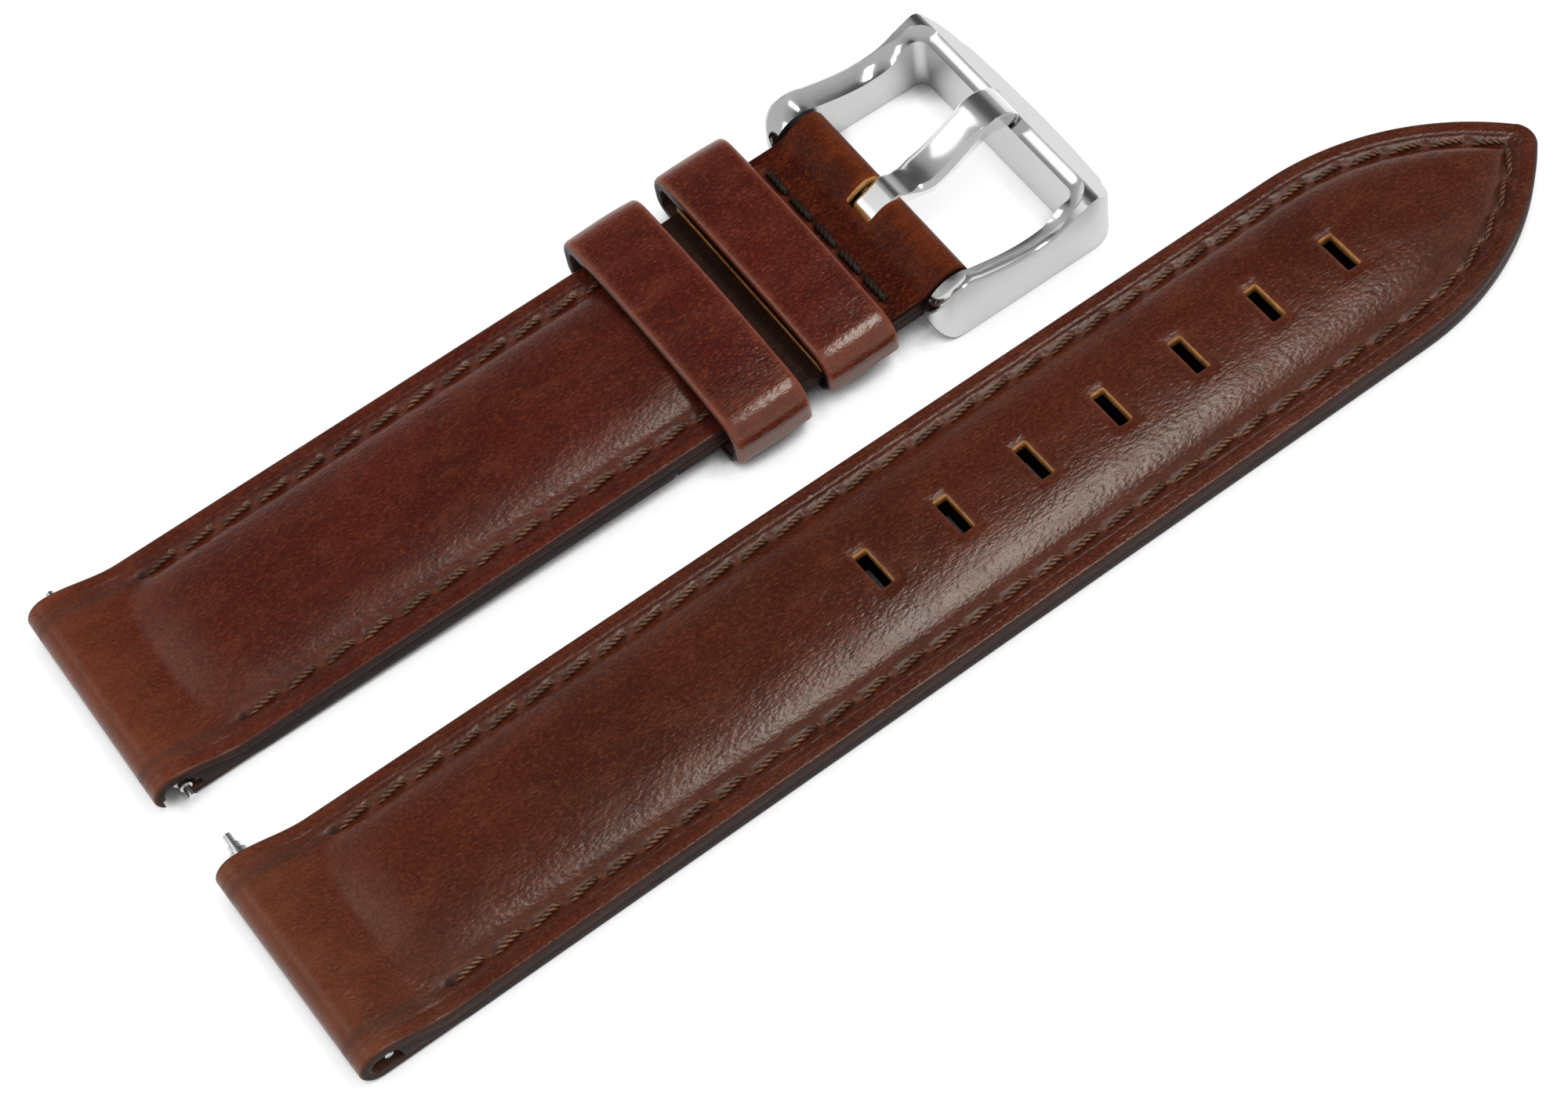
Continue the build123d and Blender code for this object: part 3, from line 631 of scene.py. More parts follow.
def stitch_ends(spots):
    """Where each stitch goes down into the leather."""
    ends = []
    for x, y, turn in spots:
        for way in (-1, 1):
            ends.append((x + way * cos(turn) * stitch_length / 2, y + way * sin(turn) * stitch_length / 2))
    return ends


def stitch_gaps(spots, stride):
    """Midway between neighbouring stitches, where the leather stands up."""
    return [((a[0] + b[0]) / 2, (a[1] + b[1]) / 2) for a, b in zip(spots, spots[stride:])]


def seam_knots():
    """The first holes of both seams, at the lug end."""
    return [(knot_x, half_width - seam_inset), (knot_x, seam_inset - half_width)]


def near_points(x, y, spots, width, reach, most=1.0):
    """1 on any of the spots, falling to 0 around them."""
    total = np.zeros_like(x)
    for px, py in spots:
        near = (np.abs(x - px) < reach) & (np.abs(y - py) < reach)
        total[near] += np.exp(-((x[near] - px) ** 2 + (y[near] - py) ** 2) / width**2)
    return np.minimum(total, most)


def dimple_depth(x, y, ends, width=0.32, depth=0.15):
    """Pits where the thread dives into the leather."""
    return depth * near_points(x, y, ends, width, 1.2, 1.1)


def slot_distance(x, y, centre):
    """How far outside a punched slot each point lies."""
    return np.maximum(np.abs(x - centre) - slot_along / 2, np.abs(y) - slot_across / 2)


def margin_height(x):
    """The top of the leather beside the crown: high at the lug fold, then level."""
    return margin_z + (lug_top - margin_z) * (1 - smooth_step(x, lug_radius, taper_x))


def upper_top(x, y, inset, crown, ends, slots):
    """The finished top surface of a half."""
    swell = 0.35
    raised = margin_z - swell + crown + swell * np.clip(crown / crown_rise, 0, 1)
    z = smooth_max(margin_height(x), raised, 0.12)
    sewn = smooth_step(x, stitch_start_x - 2.0, stitch_start_x - 0.2)
    z -= sewn * seam_depth * bell(inset, seam_inset, 0.5)
    z -= crease_depth * smooth_step(x, 2.0, 6.0) * bell(inset, crease_inset, 0.13)
    z -= dimple_depth(x, y, ends)
    z -= 0.3 * near_points(x, y, seam_knots(), 0.22, 0.88) * (len(ends) > 0)
    for centre in slots:
        z -= 0.13 * bell(np.maximum(slot_distance(x, y, centre), 0), 0, 0.4)
    return z


# Insets of the lengthwise lines from the cut edge: close at the edge, the crease and the seam
edge_lines = [0, 0.012, 0.04, 0.08, 0.13, 0.19, 0.26, 0.34, 0.46, 0.62, 0.8, 1.0, 1.12, 1.2, 1.28, 1.36, 1.45]
seam_lines = [1.58, 1.7, 1.82, 1.94, 2.06, 2.18, 2.3, 2.42, 2.54, 2.66, 2.78, 2.9, 3.05, 3.2, seam_band]
line_insets = np.concatenate([edge_lines, seam_lines, np.linspace(seam_band, half_width, 24)[1:]])


def leather_grid(width_at, x_places):
    """x and y grids with one line per inset and side, near side first."""
    x = np.asarray(x_places, float)[None, :]
    width = width_at(x)
    squeeze = np.minimum(1, width / 5.0)
    kept = np.minimum(line_insets, seam_band)[:, None] * squeeze
    rest = (np.maximum(line_insets - seam_band, 0) / (half_width - seam_band))[:, None]
    near = kept + rest * (width - seam_band * squeeze) - width
    y = np.concatenate([near, -near[-2::-1]], axis=0)
    return np.broadcast_to(x, y.shape).copy(), y


def round_drop(inset, radius):
    """How far a rounded edge falls away at an inset from the cut."""
    return radius - np.sqrt(np.maximum(radius**2 - np.maximum(radius - inset, 0) ** 2, 0))


def lining_top(x):
    """The top of the lining, which rises over the bar channel."""
    rise = lug_radius + channel_radius - lining_thickness
    return lining_thickness + rise * (1 - smooth_step(x, lug_bar_x, taper_x))


def wrap(grid, bend, arc, centre, side, radius):
    """Lays a stretch of a grid round a bar, in the plane of x and z."""
    grid[:, bend, 0] = centre[0] + side * radius * np.sin(arc)
    grid[:, bend, 2] = centre[1] + radius * np.cos(arc)


def upper_body(top_places, width_at, inset_at, crown_at, ends, slots, seed):
    """The upper: over the top, round the bar channel and back under to its skived edge."""
    arc = np.linspace(0, pi, 19)[1:-1]
    under = [np.linspace(lug_radius, lug_bar_x, 5), np.linspace(lug_bar_x, turned_under_x, 16)[1:]]
    places = np.concatenate([top_places, lug_radius - lug_radius * np.sin(arc), *under])
    x, y = leather_grid(width_at, places)
    inset = inset_at(x, y)
    crown = crown_at(x, y)
    outer_drop = round_drop(inset, edge_round)
    inner_drop = round_drop(inset, inner_round)
    uneven = ripple(x, y, 5.0, 0.035, seed) * np.clip(inset, 0, 1)
    top = upper_top(x, y, inset, crown, ends, slots) + uneven - outer_drop
    swell = np.clip(crown - 0.06, 0, None) * 0.94
    inside = np.where(x > lug_bar_x, lining_top(x), lug_radius + channel_radius) + inner_drop
    inside = np.maximum(inside, np.minimum(lining_thickness + swell, top - 0.35))
    outer = np.stack([x, y, top], axis=-1)
    inner = np.stack([x, y, inside], axis=-1)
    bend = slice(len(top_places), len(top_places) + len(arc))
    centre = (lug_radius, lug_radius)
    wrap(outer, bend, arc, centre, -1, lug_radius - outer_drop[:, bend])
    wrap(inner, bend, arc, centre, -1, channel_radius + inner_drop[:, bend])
    flat = slice(bend.stop, None)
    outer[:, flat, 2] = outer_drop[:, flat]
    slant = np.clip((x[:, flat] - lug_bar_x) / (turned_under_x - lug_bar_x), 0, 1)
    inner[:, flat, 2] = (lug_radius - channel_radius) * (1 - slant) + 0.02 - inner_drop[:, flat] * (1 - slant)
    inner[:, flat, 2] = np.maximum(inner[:, flat, 2], outer[:, flat, 2] + 0.01)
    return strip_body(outer, inner, (0, 1, 2, 3))


def finish_leather(piece, place, inset_at, slots, gaps):
    """Marks how stretched and how darkened the leather is at each point; the darkening is painted shade in
    the seam groove, the crease and the first stitch holes, and darker leather right at the cut edge.
    """
    x, y, z = own_points(piece, place).T
    inset = inset_at(x, y)
    on_top = z > 1.5
    fold = (0.75 * bell(x, 0, 3.4) + 0.28 * bell(x, 6.0, 4.5)) * np.clip(z / 1.2, 0, 1)
    seam = 0.22 * bell(inset, crown_foot + 0.25, 0.22) * smooth_step(x, 8, 10)
    raised = near_points(x, y, gaps, 0.3, 1.2) * on_top
    bent = fold + 0.12 * bell(inset, 0.45, 0.25) + seam + 0.75 * raised
    for centre in slots:
        bent += 0.3 * bell(slot_distance(x, y, centre), 0, 0.3)
    # Painted shade in the seam groove and the crease; darker right at the cut edge
    shade = 0.8 * bell(inset, 0, 0.16) + 0.34 * bell(inset, seam_inset, 0.5)
    shade += 0.25 * bell(inset, crease_inset, 0.12)
    # Painted shade in the first stitch holes at the lug end
    shade = shade * (1 - 0.8 * raised) + near_points(x, y, seam_knots(), 0.26, 1.04) * on_top
    set_attribute(piece, "bent", np.clip(bent, 0, 1))
    set_attribute(piece, "shade", np.clip(shade, 0, 0.92))


# Padding and lining
def padding_body(places, width_at, foot_at, crown_at):
    """The padding, whose outline is the crown's foot."""
    x, y = leather_grid(lambda x: np.minimum(width_at(x), np.maximum(foot_at(x), 0.02)), places)
    crown = np.clip(crown_at(x, y) - 0.08, 0, None) * 0.9
    bottom = np.stack([x, y, np.full_like(x, lining_thickness + 0.01)], axis=-1)
    top = bottom.copy()
    top[..., 2] += crown
    return strip_body(top, bottom, (0, 0, 0, 0))


def lining_body(places, width_at, inset_at, bottom_at):
    """The lining: level, with a wedge that ends at the bar channel."""
    wedge_x = lug_bar_x + channel_radius
    places = places[places > wedge_x]
    count = len(places)
    cusp = np.linspace(0, pi / 2, 8)[1:]
    x, y = leather_grid(width_at, np.concatenate([places, lug_bar_x + channel_radius * np.cos(cusp)]))
    drop = round_drop(inset_at(x, y), inner_round)
    roof = lining_top(x)
    arch = lug_radius + np.sqrt(np.maximum(channel_radius**2 - (x - lug_bar_x) ** 2, 0))
    arch = np.minimum(arch, roof - 0.025)
    top = roof - 0.015 - drop
    top = np.where(x < wedge_x, np.maximum(top, arch + 0.005), top)
    turned = x < turned_under_x
    low = np.where(turned, (turned_under_x - x) / (turned_under_x - lug_bar_x) * 0.9, bottom_at(x))
    low += 0.03 * turned + drop
    low[:, count:] = arch[:, count:]
    return strip_body(np.stack([x, y, top], axis=-1), np.stack([x, y, low], axis=-1), (0, 0, 0, 1))


# Stitches
def stitch_form(length, turns=2.6):
    """Rings of one twisted stitch along x, and how far each point is out on its strand."""
    rings = []
    strand = []
    for s in np.linspace(-1, 1, 17):
        fall = -0.42 * abs(s) ** 5 + thread_radius * 0.62
        thick = thread_radius * (1 - 0.45 * abs(s) ** 6)
        ring = []
        for k in range(15):
            angle = k / 15 * 2 * pi
            lobe = cos(3 * angle - turns * 2 * pi * s)
            radius = thick * (0.86 + 0.14 * lobe)
            ring.append((s * length / 2, radius * cos(angle), fall + radius * sin(angle)))
            strand.append(max(0, lobe))
        rings.append(ring)
    return np.array(rings), strand


def seam_piece(name, spots, height_at, length, material, place, spread=1.0):
    """All the stitches of one seam, each in its own place on the leather."""
    rings, strand = stitch_form(length)
    rings[..., 1] *= spread
    all_points = []
    all_faces = []
    for x, y, turn in spots:
        turn += 0.05 * noise.noise(Vector((x, y, 7.3)))
        c, s = cos(turn), sin(turn)
        placed = rings.copy()
        placed[..., 0] = x + rings[..., 0] * c - rings[..., 1] * s
        placed[..., 1] = y + rings[..., 0] * s + rings[..., 1] * c
        placed[..., 2] += height_at(x, y)
        points, faces = loop_body(placed)
        shift = len(all_points) * len(points)
        all_points.append(points)
        all_faces += [[v + shift for v in face] for face in faces]
    piece = new_piece(name, np.concatenate(all_points), all_faces, 0, [material], place, weld=0)
    set_attribute(piece, "strand", strand * len(spots))
    return piece


def height_on(inset_at, crown_at):
    """The height of a half's top at one point, for its stitches."""
    def height(x, y):
        x, y = np.array([x]), np.array([y])
        return float(upper_top(x, y, inset_at(x, y), crown_at(x, y), [], [])[0])

    return height


# Build the tail half
def top_places(end_x, close, step=0.26):
    """x of the rings over the top, from the end back to the lug fold; close are the first insets."""
    start = end_x - close[-1]
    count = int((start - lug_radius) / step)
    return np.concatenate([end_x - np.array(close), np.linspace(start, lug_radius, count)[1:]])


def knob_cutter(side, place, cut):
    """Room for the release knob in the turned-under leather or in the lining."""
    x, along = cut
    return box_cutter("knob_cutter", (x, side * (half_width - 1.3), -2.4), (along, 6.6), 0.4, raw_and_shade, place, 4.0)


nose_close = (0, 0.008, 0.03, 0.07, 0.13, 0.21, 0.31, 0.45, 0.62, 0.82)
cut_close = (0, 0.02, 0.06, 0.12, 0.2, 0.32)
lining_step = 0.9

tail_spots = tail_stitches()
tail_upper = new_piece(
    "tail_upper_leather",
    *upper_body(
        top_places(tail_length, nose_close), tail_width, tail_inset, tail_crown,
        stitch_ends(tail_spots), slot_x, 1.7,
    ),
    [tail_half_leather, lining_leather, raw_and_shade, paint],
    tail_place,
)
# The slots show the tail's padding, so it gets the look of cut leather, with its painted shade deep in the
# slot
filler_start_x = 3.6
filler_tip = tail_length - np.array([4.4, 4.7])
filler_places = np.concatenate([filler_tip, np.linspace(tail_length - 5.2, filler_start_x, 130)])
tail_padding = new_piece(
    "tail_padding_form",
    *padding_body(filler_places, tail_width, tail_foot_width, tail_crown),
    [raw_and_shade],
    tail_place,
)
tail_lining = new_piece(
    "tail_lining_leather",
    *lining_body(top_places(tail_length, nose_close, lining_step), tail_width, tail_inset, np.zeros_like),
    [lining_leather, paint, raw_and_shade],
    tail_place,
)
slot_size = (slot_along, slot_across)
slot_cutters = [box_cutter("slot_cutter", (x, 0, 2), slot_size, 0.16, raw_and_shade, tail_place) for x in slot_x]
tail_knobs = [knob_cutter(1, tail_place, cut) for cut in (knob_cut_long, knob_cut_wide)]
punch(tail_upper, slot_cutters + tail_knobs[:1])
punch(tail_padding, slot_cutters)
punch(tail_lining, slot_cutters + tail_knobs[1:])
discard(slot_cutters + tail_knobs)
finish_leather(tail_upper, tail_place, tail_inset, slot_x, stitch_gaps(tail_spots, 2))
tail_seam = seam_piece(
    "tail_seam", tail_spots, height_on(tail_inset, tail_crown), stitch_length, seam_thread, tail_place
)

# Build the buckle half
far_spots = buckle_stitches(1)
near_spots = buckle_stitches(-1)
buckle_upper = new_piece(
    "buckle_upper_leather",
    *upper_body(
        top_places(upper_end_x, cut_close), buckle_width, buckle_inset, buckle_crown,
        stitch_ends(far_spots + near_spots), [], 5.1,
    ),
    [buckle_half_leather, lining_leather, raw_and_shade, paint],
    strap_place,
)
buckle_padding = new_piece(
    "buckle_padding_form",
    *padding_body(
        np.linspace(57.0, filler_start_x, 90), buckle_width,
        lambda x: np.full_like(x, half_width - crown_foot), buckle_crown,
    ),
    [padding_felt],
    strap_place,
)
buckle_lining = new_piece(
    "buckle_lining_leather",
    *lining_body(
        top_places(lining_end_x, cut_close, lining_step),
        buckle_width,
        buckle_inset,
        lambda x: np.where(x > flap_under_x - 0.1, flap_thickness + 0.02, 0.0),
    ),
    [under_leather, paint, raw_and_shade],
    strap_place,
)
buckle_knobs = [knob_cutter(-1, strap_place, cut) for cut in (knob_cut_long, knob_cut_wide)]
punch(buckle_upper, buckle_knobs[:1])
punch(buckle_lining, buckle_knobs[1:])
discard(buckle_knobs)
side_gaps = stitch_gaps(far_spots, 1) + stitch_gaps(near_spots, 1)
finish_leather(buckle_upper, strap_place, buckle_inset, [], side_gaps)
on_buckle_half = height_on(buckle_inset, buckle_crown)
far_seam = seam_piece("far_seam", far_spots, on_buckle_half, stitch_length, seam_thread, strap_place)
near_seam = seam_piece("near_seam", near_spots, on_buckle_half, stitch_length, seam_thread, strap_place)


# The flap that folds round the buckle bar
def flap_body(ends):
    arc = np.linspace(0, pi, 25)[1:-1]
    top = np.concatenate([[flap_top_x, flap_top_x + 0.05, flap_top_x + 0.15], np.linspace(61.0, bar_x, 56)])
    under = np.linspace(bar_x, flap_under_x, 40)
    x, y = leather_grid(buckle_width, np.concatenate([top, bar_x + 0 * arc, under]))
    drop = round_drop(buckle_inset(x, y), 0.26)
    inner_drop = round_drop(buckle_inset(x, y), 0.12)
    lift = smooth_step(x, fold_rise_x, bar_x)
    top_z = flap_top_z + (bar_z + fold_outer_radius - flap_top_z) * lift + ripple(x, y, 3.5, 0.05, 9.4)
    top_z += 0.07 * bell(x, cross_stitch_x - 0.75, 0.35) * (np.abs(y) < 8)
    top_z -= dimple_depth(x, y, ends, 0.4, 0.2)
    inside = lining_thickness + (bar_z + fold_inner_radius - lining_thickness) * lift
    outer = np.stack([x, y, top_z - drop], axis=-1)
    inner = np.stack([x, y, inside + inner_drop], axis=-1)
    bend = slice(len(top), len(top) + len(arc))
    wrap(outer, bend, arc, (bar_x, bar_z), 1, fold_outer_radius - drop[:, bend])
    wrap(inner, bend, arc, (bar_x, bar_z), 1, fold_inner_radius + inner_drop[:, bend])
    outer[:, bend.stop :, 2] = drop[:, bend.stop :]
    inner[:, bend.stop :, 2] = flap_thickness - inner_drop[:, bend.stop :]
    return strip_body(outer, inner, (0, 1, 2, 3))


def flap_looks(piece):
    """Paler where the flap is stretched over the bar, round the slot and beside the stitch holes; darker at
    its cut edges, with painted shade along the cross-stitch row.
    """
    x, y, z = own_points(piece, strap_place).T
    away = np.maximum(tongue_slot_x - x, np.abs(y) - tongue_slot_width / 2)
    bent = 0.55 * bell(x, bar_x + 0.8, 1.5) + 0.4 * bell(away, 0, 0.45)
    for i in range(6):
        bent += 0.8 * bell(x, cross_stitch_x - 0.5, 0.4) * bell(y, (i - 2.5) * cross_stitch_pitch, 0.4)
    on_seam = (np.abs(y) < 8.3) * (z > 1)
    # Painted shade along the cross-stitch row; darker right at the cut edges
    shade = 0.8 * bell(half_width - np.abs(y), 0, 0.16) + 0.5 * bell(x, cross_stitch_x, 0.3) * on_seam
    set_attribute(piece, "bent", np.clip(bent, 0, 1))
    set_attribute(piece, "shade", np.clip(shade, 0, 0.9))


cross_spots = [(cross_stitch_x, (i - 2) * cross_stitch_pitch, pi / 2) for i in range(5)]
flap = new_piece(
    "folded_flap",
    *flap_body(stitch_ends(cross_spots)),
    [flap_leather, lining_leather, raw_and_shade, paint],
    strap_place,
)
slot_front = bar_x + fold_outer_radius + 2
slot_centre = ((tongue_slot_x + slot_front) / 2, 0, 1.5)
slot_size = (slot_front - tongue_slot_x, tongue_slot_width)
tongue_cutter = box_cutter("tongue_cutter", slot_centre, slot_size, 0.25, raw_and_shade, strap_place)
punch(flap, [tongue_cutter])
discard([tongue_cutter])
flap_looks(flap)
cross_seam = seam_piece(
    "cross_seam", cross_spots, lambda x, y: flap_top_z, cross_length, cross_thread, strap_place, cross_spread
)


# Keepers
def round_points(y, z, radius, angles):
    """Points round a corner, each with its outward direction."""
    return [(y + radius * cos(a), z + radius * sin(a), cos(a), sin(a)) for a in angles]


def keeper_path(bottom, shoulder, top, shift):
    """Points and outward directions round the inside of a loop, seen along the strap."""
    half = keeper_half
    base = 0.4
    corner = 1.1
    rise = top - shoulder
    lean = asin((half - corner) / ((half**2 + rise**2) / (2 * rise)))
    centre_z = shoulder - corner * 0.75
    points = [(y, bottom, 0.0, -1.0) for y in np.linspace(-half + base, half - base, 41)]
    points += round_points(half - base, bottom + base, base, np.linspace(-pi / 2, 0, 7)[1:])
    side = [(half, z, 1.0, 0.0) for z in np.linspace(bottom + base, centre_z, 8)[1:]]
    side += round_points(half - corner, centre_z, corner, np.linspace(0, pi / 2 - lean, 11)[1:])
    points += side
    last_y, last_z = points[-1][:2]
    dome_rise = top - last_z
    for y in np.linspace(last_y, -last_y, 61)[1:]:
        t = y / last_y
        slope = -2 * dome_rise * t / last_y
        size = hypot(1, slope)
        points.append((y, last_z + dome_rise * (1 - t * t), -slope / size, 1 / size))
    points += [(-y, z, -out_y, out_z) for y, z, out_y, out_z in reversed(side)]
    return [(y + shift, z, out_y, out_z) for y, z, out_y, out_z in points]


def keeper_section(length):
    """The rim of the strap piece that makes a loop: (along, outward) points, rounded and lightly crowned."""
    half = length / 2
    corner = 0.42
    crown = 0.1
    low = keeper_wall - crown - corner
    flat = half - corner
    points = [(u, keeper_wall - crown * (u / half) ** 2) for u in np.linspace(-flat, flat, 15)]
    rim = [(flat + corner * cos(a), low + corner * sin(a)) for a in np.linspace(pi / 2, -0.2, 7)[1:]]
    rim += [(half - 0.03, 0.12), (half - 0.14, 0.0)]
    points += rim
    points += [(u, 0.0) for u in np.linspace(half - 0.4, -half + 0.4, 9)]
    return points + [(-u, out) for u, out in reversed(rim)]


def keeper_piece(name, sizes, seed):
    x0, length, bottom, shoulder, top, shift = sizes
    middle = x0 + length / 2
    section = keeper_section(length)
    rings = []
    for y, z, out_y, out_z in keeper_path(bottom, shoulder, top, shift):
        ring = []
        for u, out in section:
            out += 0.05 * noise.noise(Vector((y / 4 + seed, z / 3, u / 4))) * (out > 0.6)
            ring.append((middle + u, y + out_y * out, z + out_z * out))
        rings.append(ring)
    outs = np.array(section)[:, 1]
    heights = (outs + np.roll(outs, -1)) / 2
    kind_row = [0 if height > keeper_wall - 0.5 else (1 if height > 0.01 else 2) for height in heights]
    points, faces = loop_body(rings, close_path=True)
    skins = [keeper_leather, paint, lining_leather]
    piece = new_piece(name, points, faces, kind_row * len(rings), skins, strap_place)
    x, y, z = own_points(piece, strap_place).T
    along = np.abs(x - middle) / (length / 2)
    bent = 0.7 * bell(along, 0.93, 0.06) + 0.45 * bell(np.abs(y - shift), keeper_half + 0.3, 1.6)
    set_attribute(piece, "bent", np.clip(bent, 0, 1))
    set_attribute(piece, "shade", 0.35 * bell(along, 1.0, 0.04))
    return piece


free_keeper = keeper_piece("free_keeper_loop", free_keeper_sizes, 2.2)
fixed_keeper = keeper_piece("fixed_keeper_loop", fixed_keeper_sizes, 6.6)


# Buckle frame: a top surface over the U between the window and the outline
floor_z = -axis_z


def circle_through(a, b, c):
    """Centre and radius of the circle through three points."""
    (ax, ay), (bx, by), (cx, cy) = a, b, c
    d = 2 * (ax * (by - cy) + bx * (cy - ay) + cx * (ay - by))
    sa, sb, sc = ax**2 + ay**2, bx**2 + by**2, cx**2 + cy**2
    ux = (sa * (by - cy) + sb * (cy - ay) + sc * (ay - by)) / d
    uy = (sa * (cx - bx) + sb * (ax - cx) + sc * (bx - ax)) / d
    return ux, uy, hypot(ax - ux, ay - uy)


ear_mid_z = (ear_z + floor_z) / 2
ear_circle = circle_through((ear_x, ear_z), (-frame_rear, ear_mid_z + nose_round / 2), (heel_x, floor_z))
bevel_x = window_front + nose_round
nose_z = nose_z_above_floor - axis_z


def side_top(x):
    """Height of the frame's top along its length."""
    if x < ear_x:
        cx, cz, radius = ear_circle
        return cz + sqrt(max(radius**2 - (x - cx) ** 2, 0))
    if x <= window_front:
        return float(spline((ear_x, dip_x, window_front), (ear_z, dip_z, ridge_z), x))
    if x <= bevel_x:
        t = (x - window_front) / nose_round * 2 - 1
        return ridge_z + ridge_round * (1 - t * t)
    t = (x - bevel_x) / (frame_front - bevel_x)
    return ridge_z + t * (nose_z - ridge_z)


def side_bottom(x):
    if x < heel_x:
        cx, cz, radius = ear_circle
        return cz - sqrt(max(radius**2 - (x - cx) ** 2, 0))
    start = frame_front - nose_round
    if x > start:
        t = (x - start) / nose_round
        return floor_z + (nose_z - floor_z) * (1 - sqrt(max(1 - t * t, 0)))
    return floor_z


front_centre = circle_through((bow_x, -bow_y), (frame_front, 0), (bow_x, bow_y))


def frame_edge(x):
    """Half the frame's outer width at x, without the corner rounds."""
    return frame_outer - side_taper * (x + frame_rear) / (bow_x + frame_rear)


def outline_inside(x, y):
    """Whether a point of the plan, on the near side, is inside the rounded outline."""
    y = abs(y)
    cx, cy, radius = front_centre
    corner_x = bow_x - front_corner + 0.18
    corner_y = frame_edge(corner_x) - front_corner
    if x > corner_x and y > corner_y:
        return hypot(x - corner_x, y - corner_y) <= front_corner
    if x < -frame_rear + rear_corner and y > frame_outer - rear_corner:
        return hypot(x + frame_rear - rear_corner, y - frame_outer + rear_corner) <= rear_corner
    return y <= frame_edge(x) and hypot(x - cx, y - cy) <= radius and x >= -frame_rear


def reach_outline(x, y, dx, dy):
    """How far a ray from an inside point runs to the outline."""
    low, high = 0.0, 9.0
    for _ in range(36):
        middle = (low + high) / 2
        if outline_inside(x + dx * middle, y + dy * middle):
            low = middle
        else:
            high = middle
    return low


def frame_station(x, y, dx, dy, clip=99.0):
    """One cross-section: up the window side, over the polished band, the top and down the outside."""
    width = reach_outline(x, y, dx, dy)
    on_arm = (1 - float(smooth_step(x, dip_x, window_front - window_corner))) * (abs(dy) > 0.99)

    def top_at(a):
        return min(side_top(x + dx * a), clip)

    bottom_inner = side_bottom(x)
    crest = front_band + (width - arm_shoulder - front_band) * on_arm
    sink = 0.05 * on_arm
    wall_top = bevel_start_z + (top_at(0) - arm_band_rise - bevel_start_z) * on_arm
    wall_top = max(wall_top, bottom_inner + 0.5 * (top_at(0) - bottom_inner))
    wall_top = min(wall_top, top_at(crest))
    crest_z = top_at(crest)
    fall = width - 0.12
    if dx > 0.01:
        fall = min(max((bevel_x - x) / dx, crest + 0.02), width - 0.02)
    points = [(0, bottom_inner)]
    points += [(0, bottom_inner + (wall_top - bottom_inner) * t) for t in (0.08, 0.5, 0.92, 1)]
    band_hollow = 0.10 + 0.06 * on_arm
    for t in (0.06, 0.25, 0.5, 0.75, 0.94, 1):
        points.append((crest * t, wall_top + (crest_z - wall_top) * t - band_hollow * sin(pi * t)))
    for t in (0.1, 0.35, 0.65, 0.9, 1):
        a = crest + (fall - crest) * t
        points.append((a, top_at(a) - sink * t))
    for t in (0.04, 0.25, 0.5, 0.75, 0.96, 1):
        a = fall + (width - fall) * t
        points.append((a, top_at(a) - sink - 0.12 * on_arm * t))
    edge_top = points[-1][1]
    edge_bottom = min(side_bottom(x + dx * width), edge_top - 0.02)
    for t in (0.06, 0.5, 0.94, 1):
        points.append((width, edge_top + (edge_bottom - edge_top) * t))
    for t in (0.9, 0.6, 0.3):
        a = width * t
        points.append((a, side_bottom(x + dx * a)))
    return [(x + dx * a, y + dy * a, z) for a, z in points]


def frame_stations():
    """Stations round the near half of the U, from the ear to the middle of the front bar."""
    stations = []
    rear = -frame_rear
    for t in np.linspace(0, pi / 2, 14):
        stations.append((rear + 0.002 + (ear_x - rear) * (1 - cos(t)), -frame_inner, 0, -1))
    corner_x = window_front - window_corner
    for x in np.linspace(ear_x, corner_x, 22)[1:]:
        stations.append((x, -frame_inner, 0, -1))
    corner_y = frame_inner - window_corner
    for angle in np.linspace(0, pi / 2, 17)[1:]:
        dx, dy = sin(angle), -cos(angle)
        stations.append((corner_x + window_corner * dx, -corner_y + window_corner * dy, dx, dy))
    for y in np.linspace(-corner_y, -1.95, 14)[1:]:
        stations.append((window_front, y, 1, 0))
    return stations


def frame_rings():
    near = [frame_station(*station) for station in frame_stations()]
    near += [frame_station(window_front, y, 1, 0, clip=notch_z) for y in (-1.93, -1.0, 0.0)]
    return near + [[(x, -y, z) for x, y, z in ring] for ring in near[-2::-1]]


def soften(piece, width):
    """Small rounds on the crisp edges."""
    bevel = piece.modifiers.new("round", "BEVEL")
    bevel.width = width * MM
    bevel.segments = 3
    bevel.limit_method = "ANGLE"
    bevel.angle_limit = radians(28)
    bevel.harden_normals = True
    bevel.use_clamp_overlap = True


def frame_piece():
    rings = frame_rings()
    kind_row = [1] * 4 + [0] * 11 + [1] * (len(rings[0]) - 15)
    kinds = kind_row * (len(rings) - 1) + [1, 1]
    piece = new_piece("buckle_frame_steel", *loop_body(rings), kinds, [polished, satin], buckle_place)
    holes = []
    for side in (-1, 1):
        ends = (side * (frame_inner - 0.6), side * (frame_inner + pin_hole_depth))
        holes.append(rod_cutter("hole_cutter", pin_hole_radius, ends, 40, satin, buckle_place))
    punch(piece, holes)
    discard(holes)
    soften(piece, 0.13)
    return piece


buckle_frame = frame_piece()


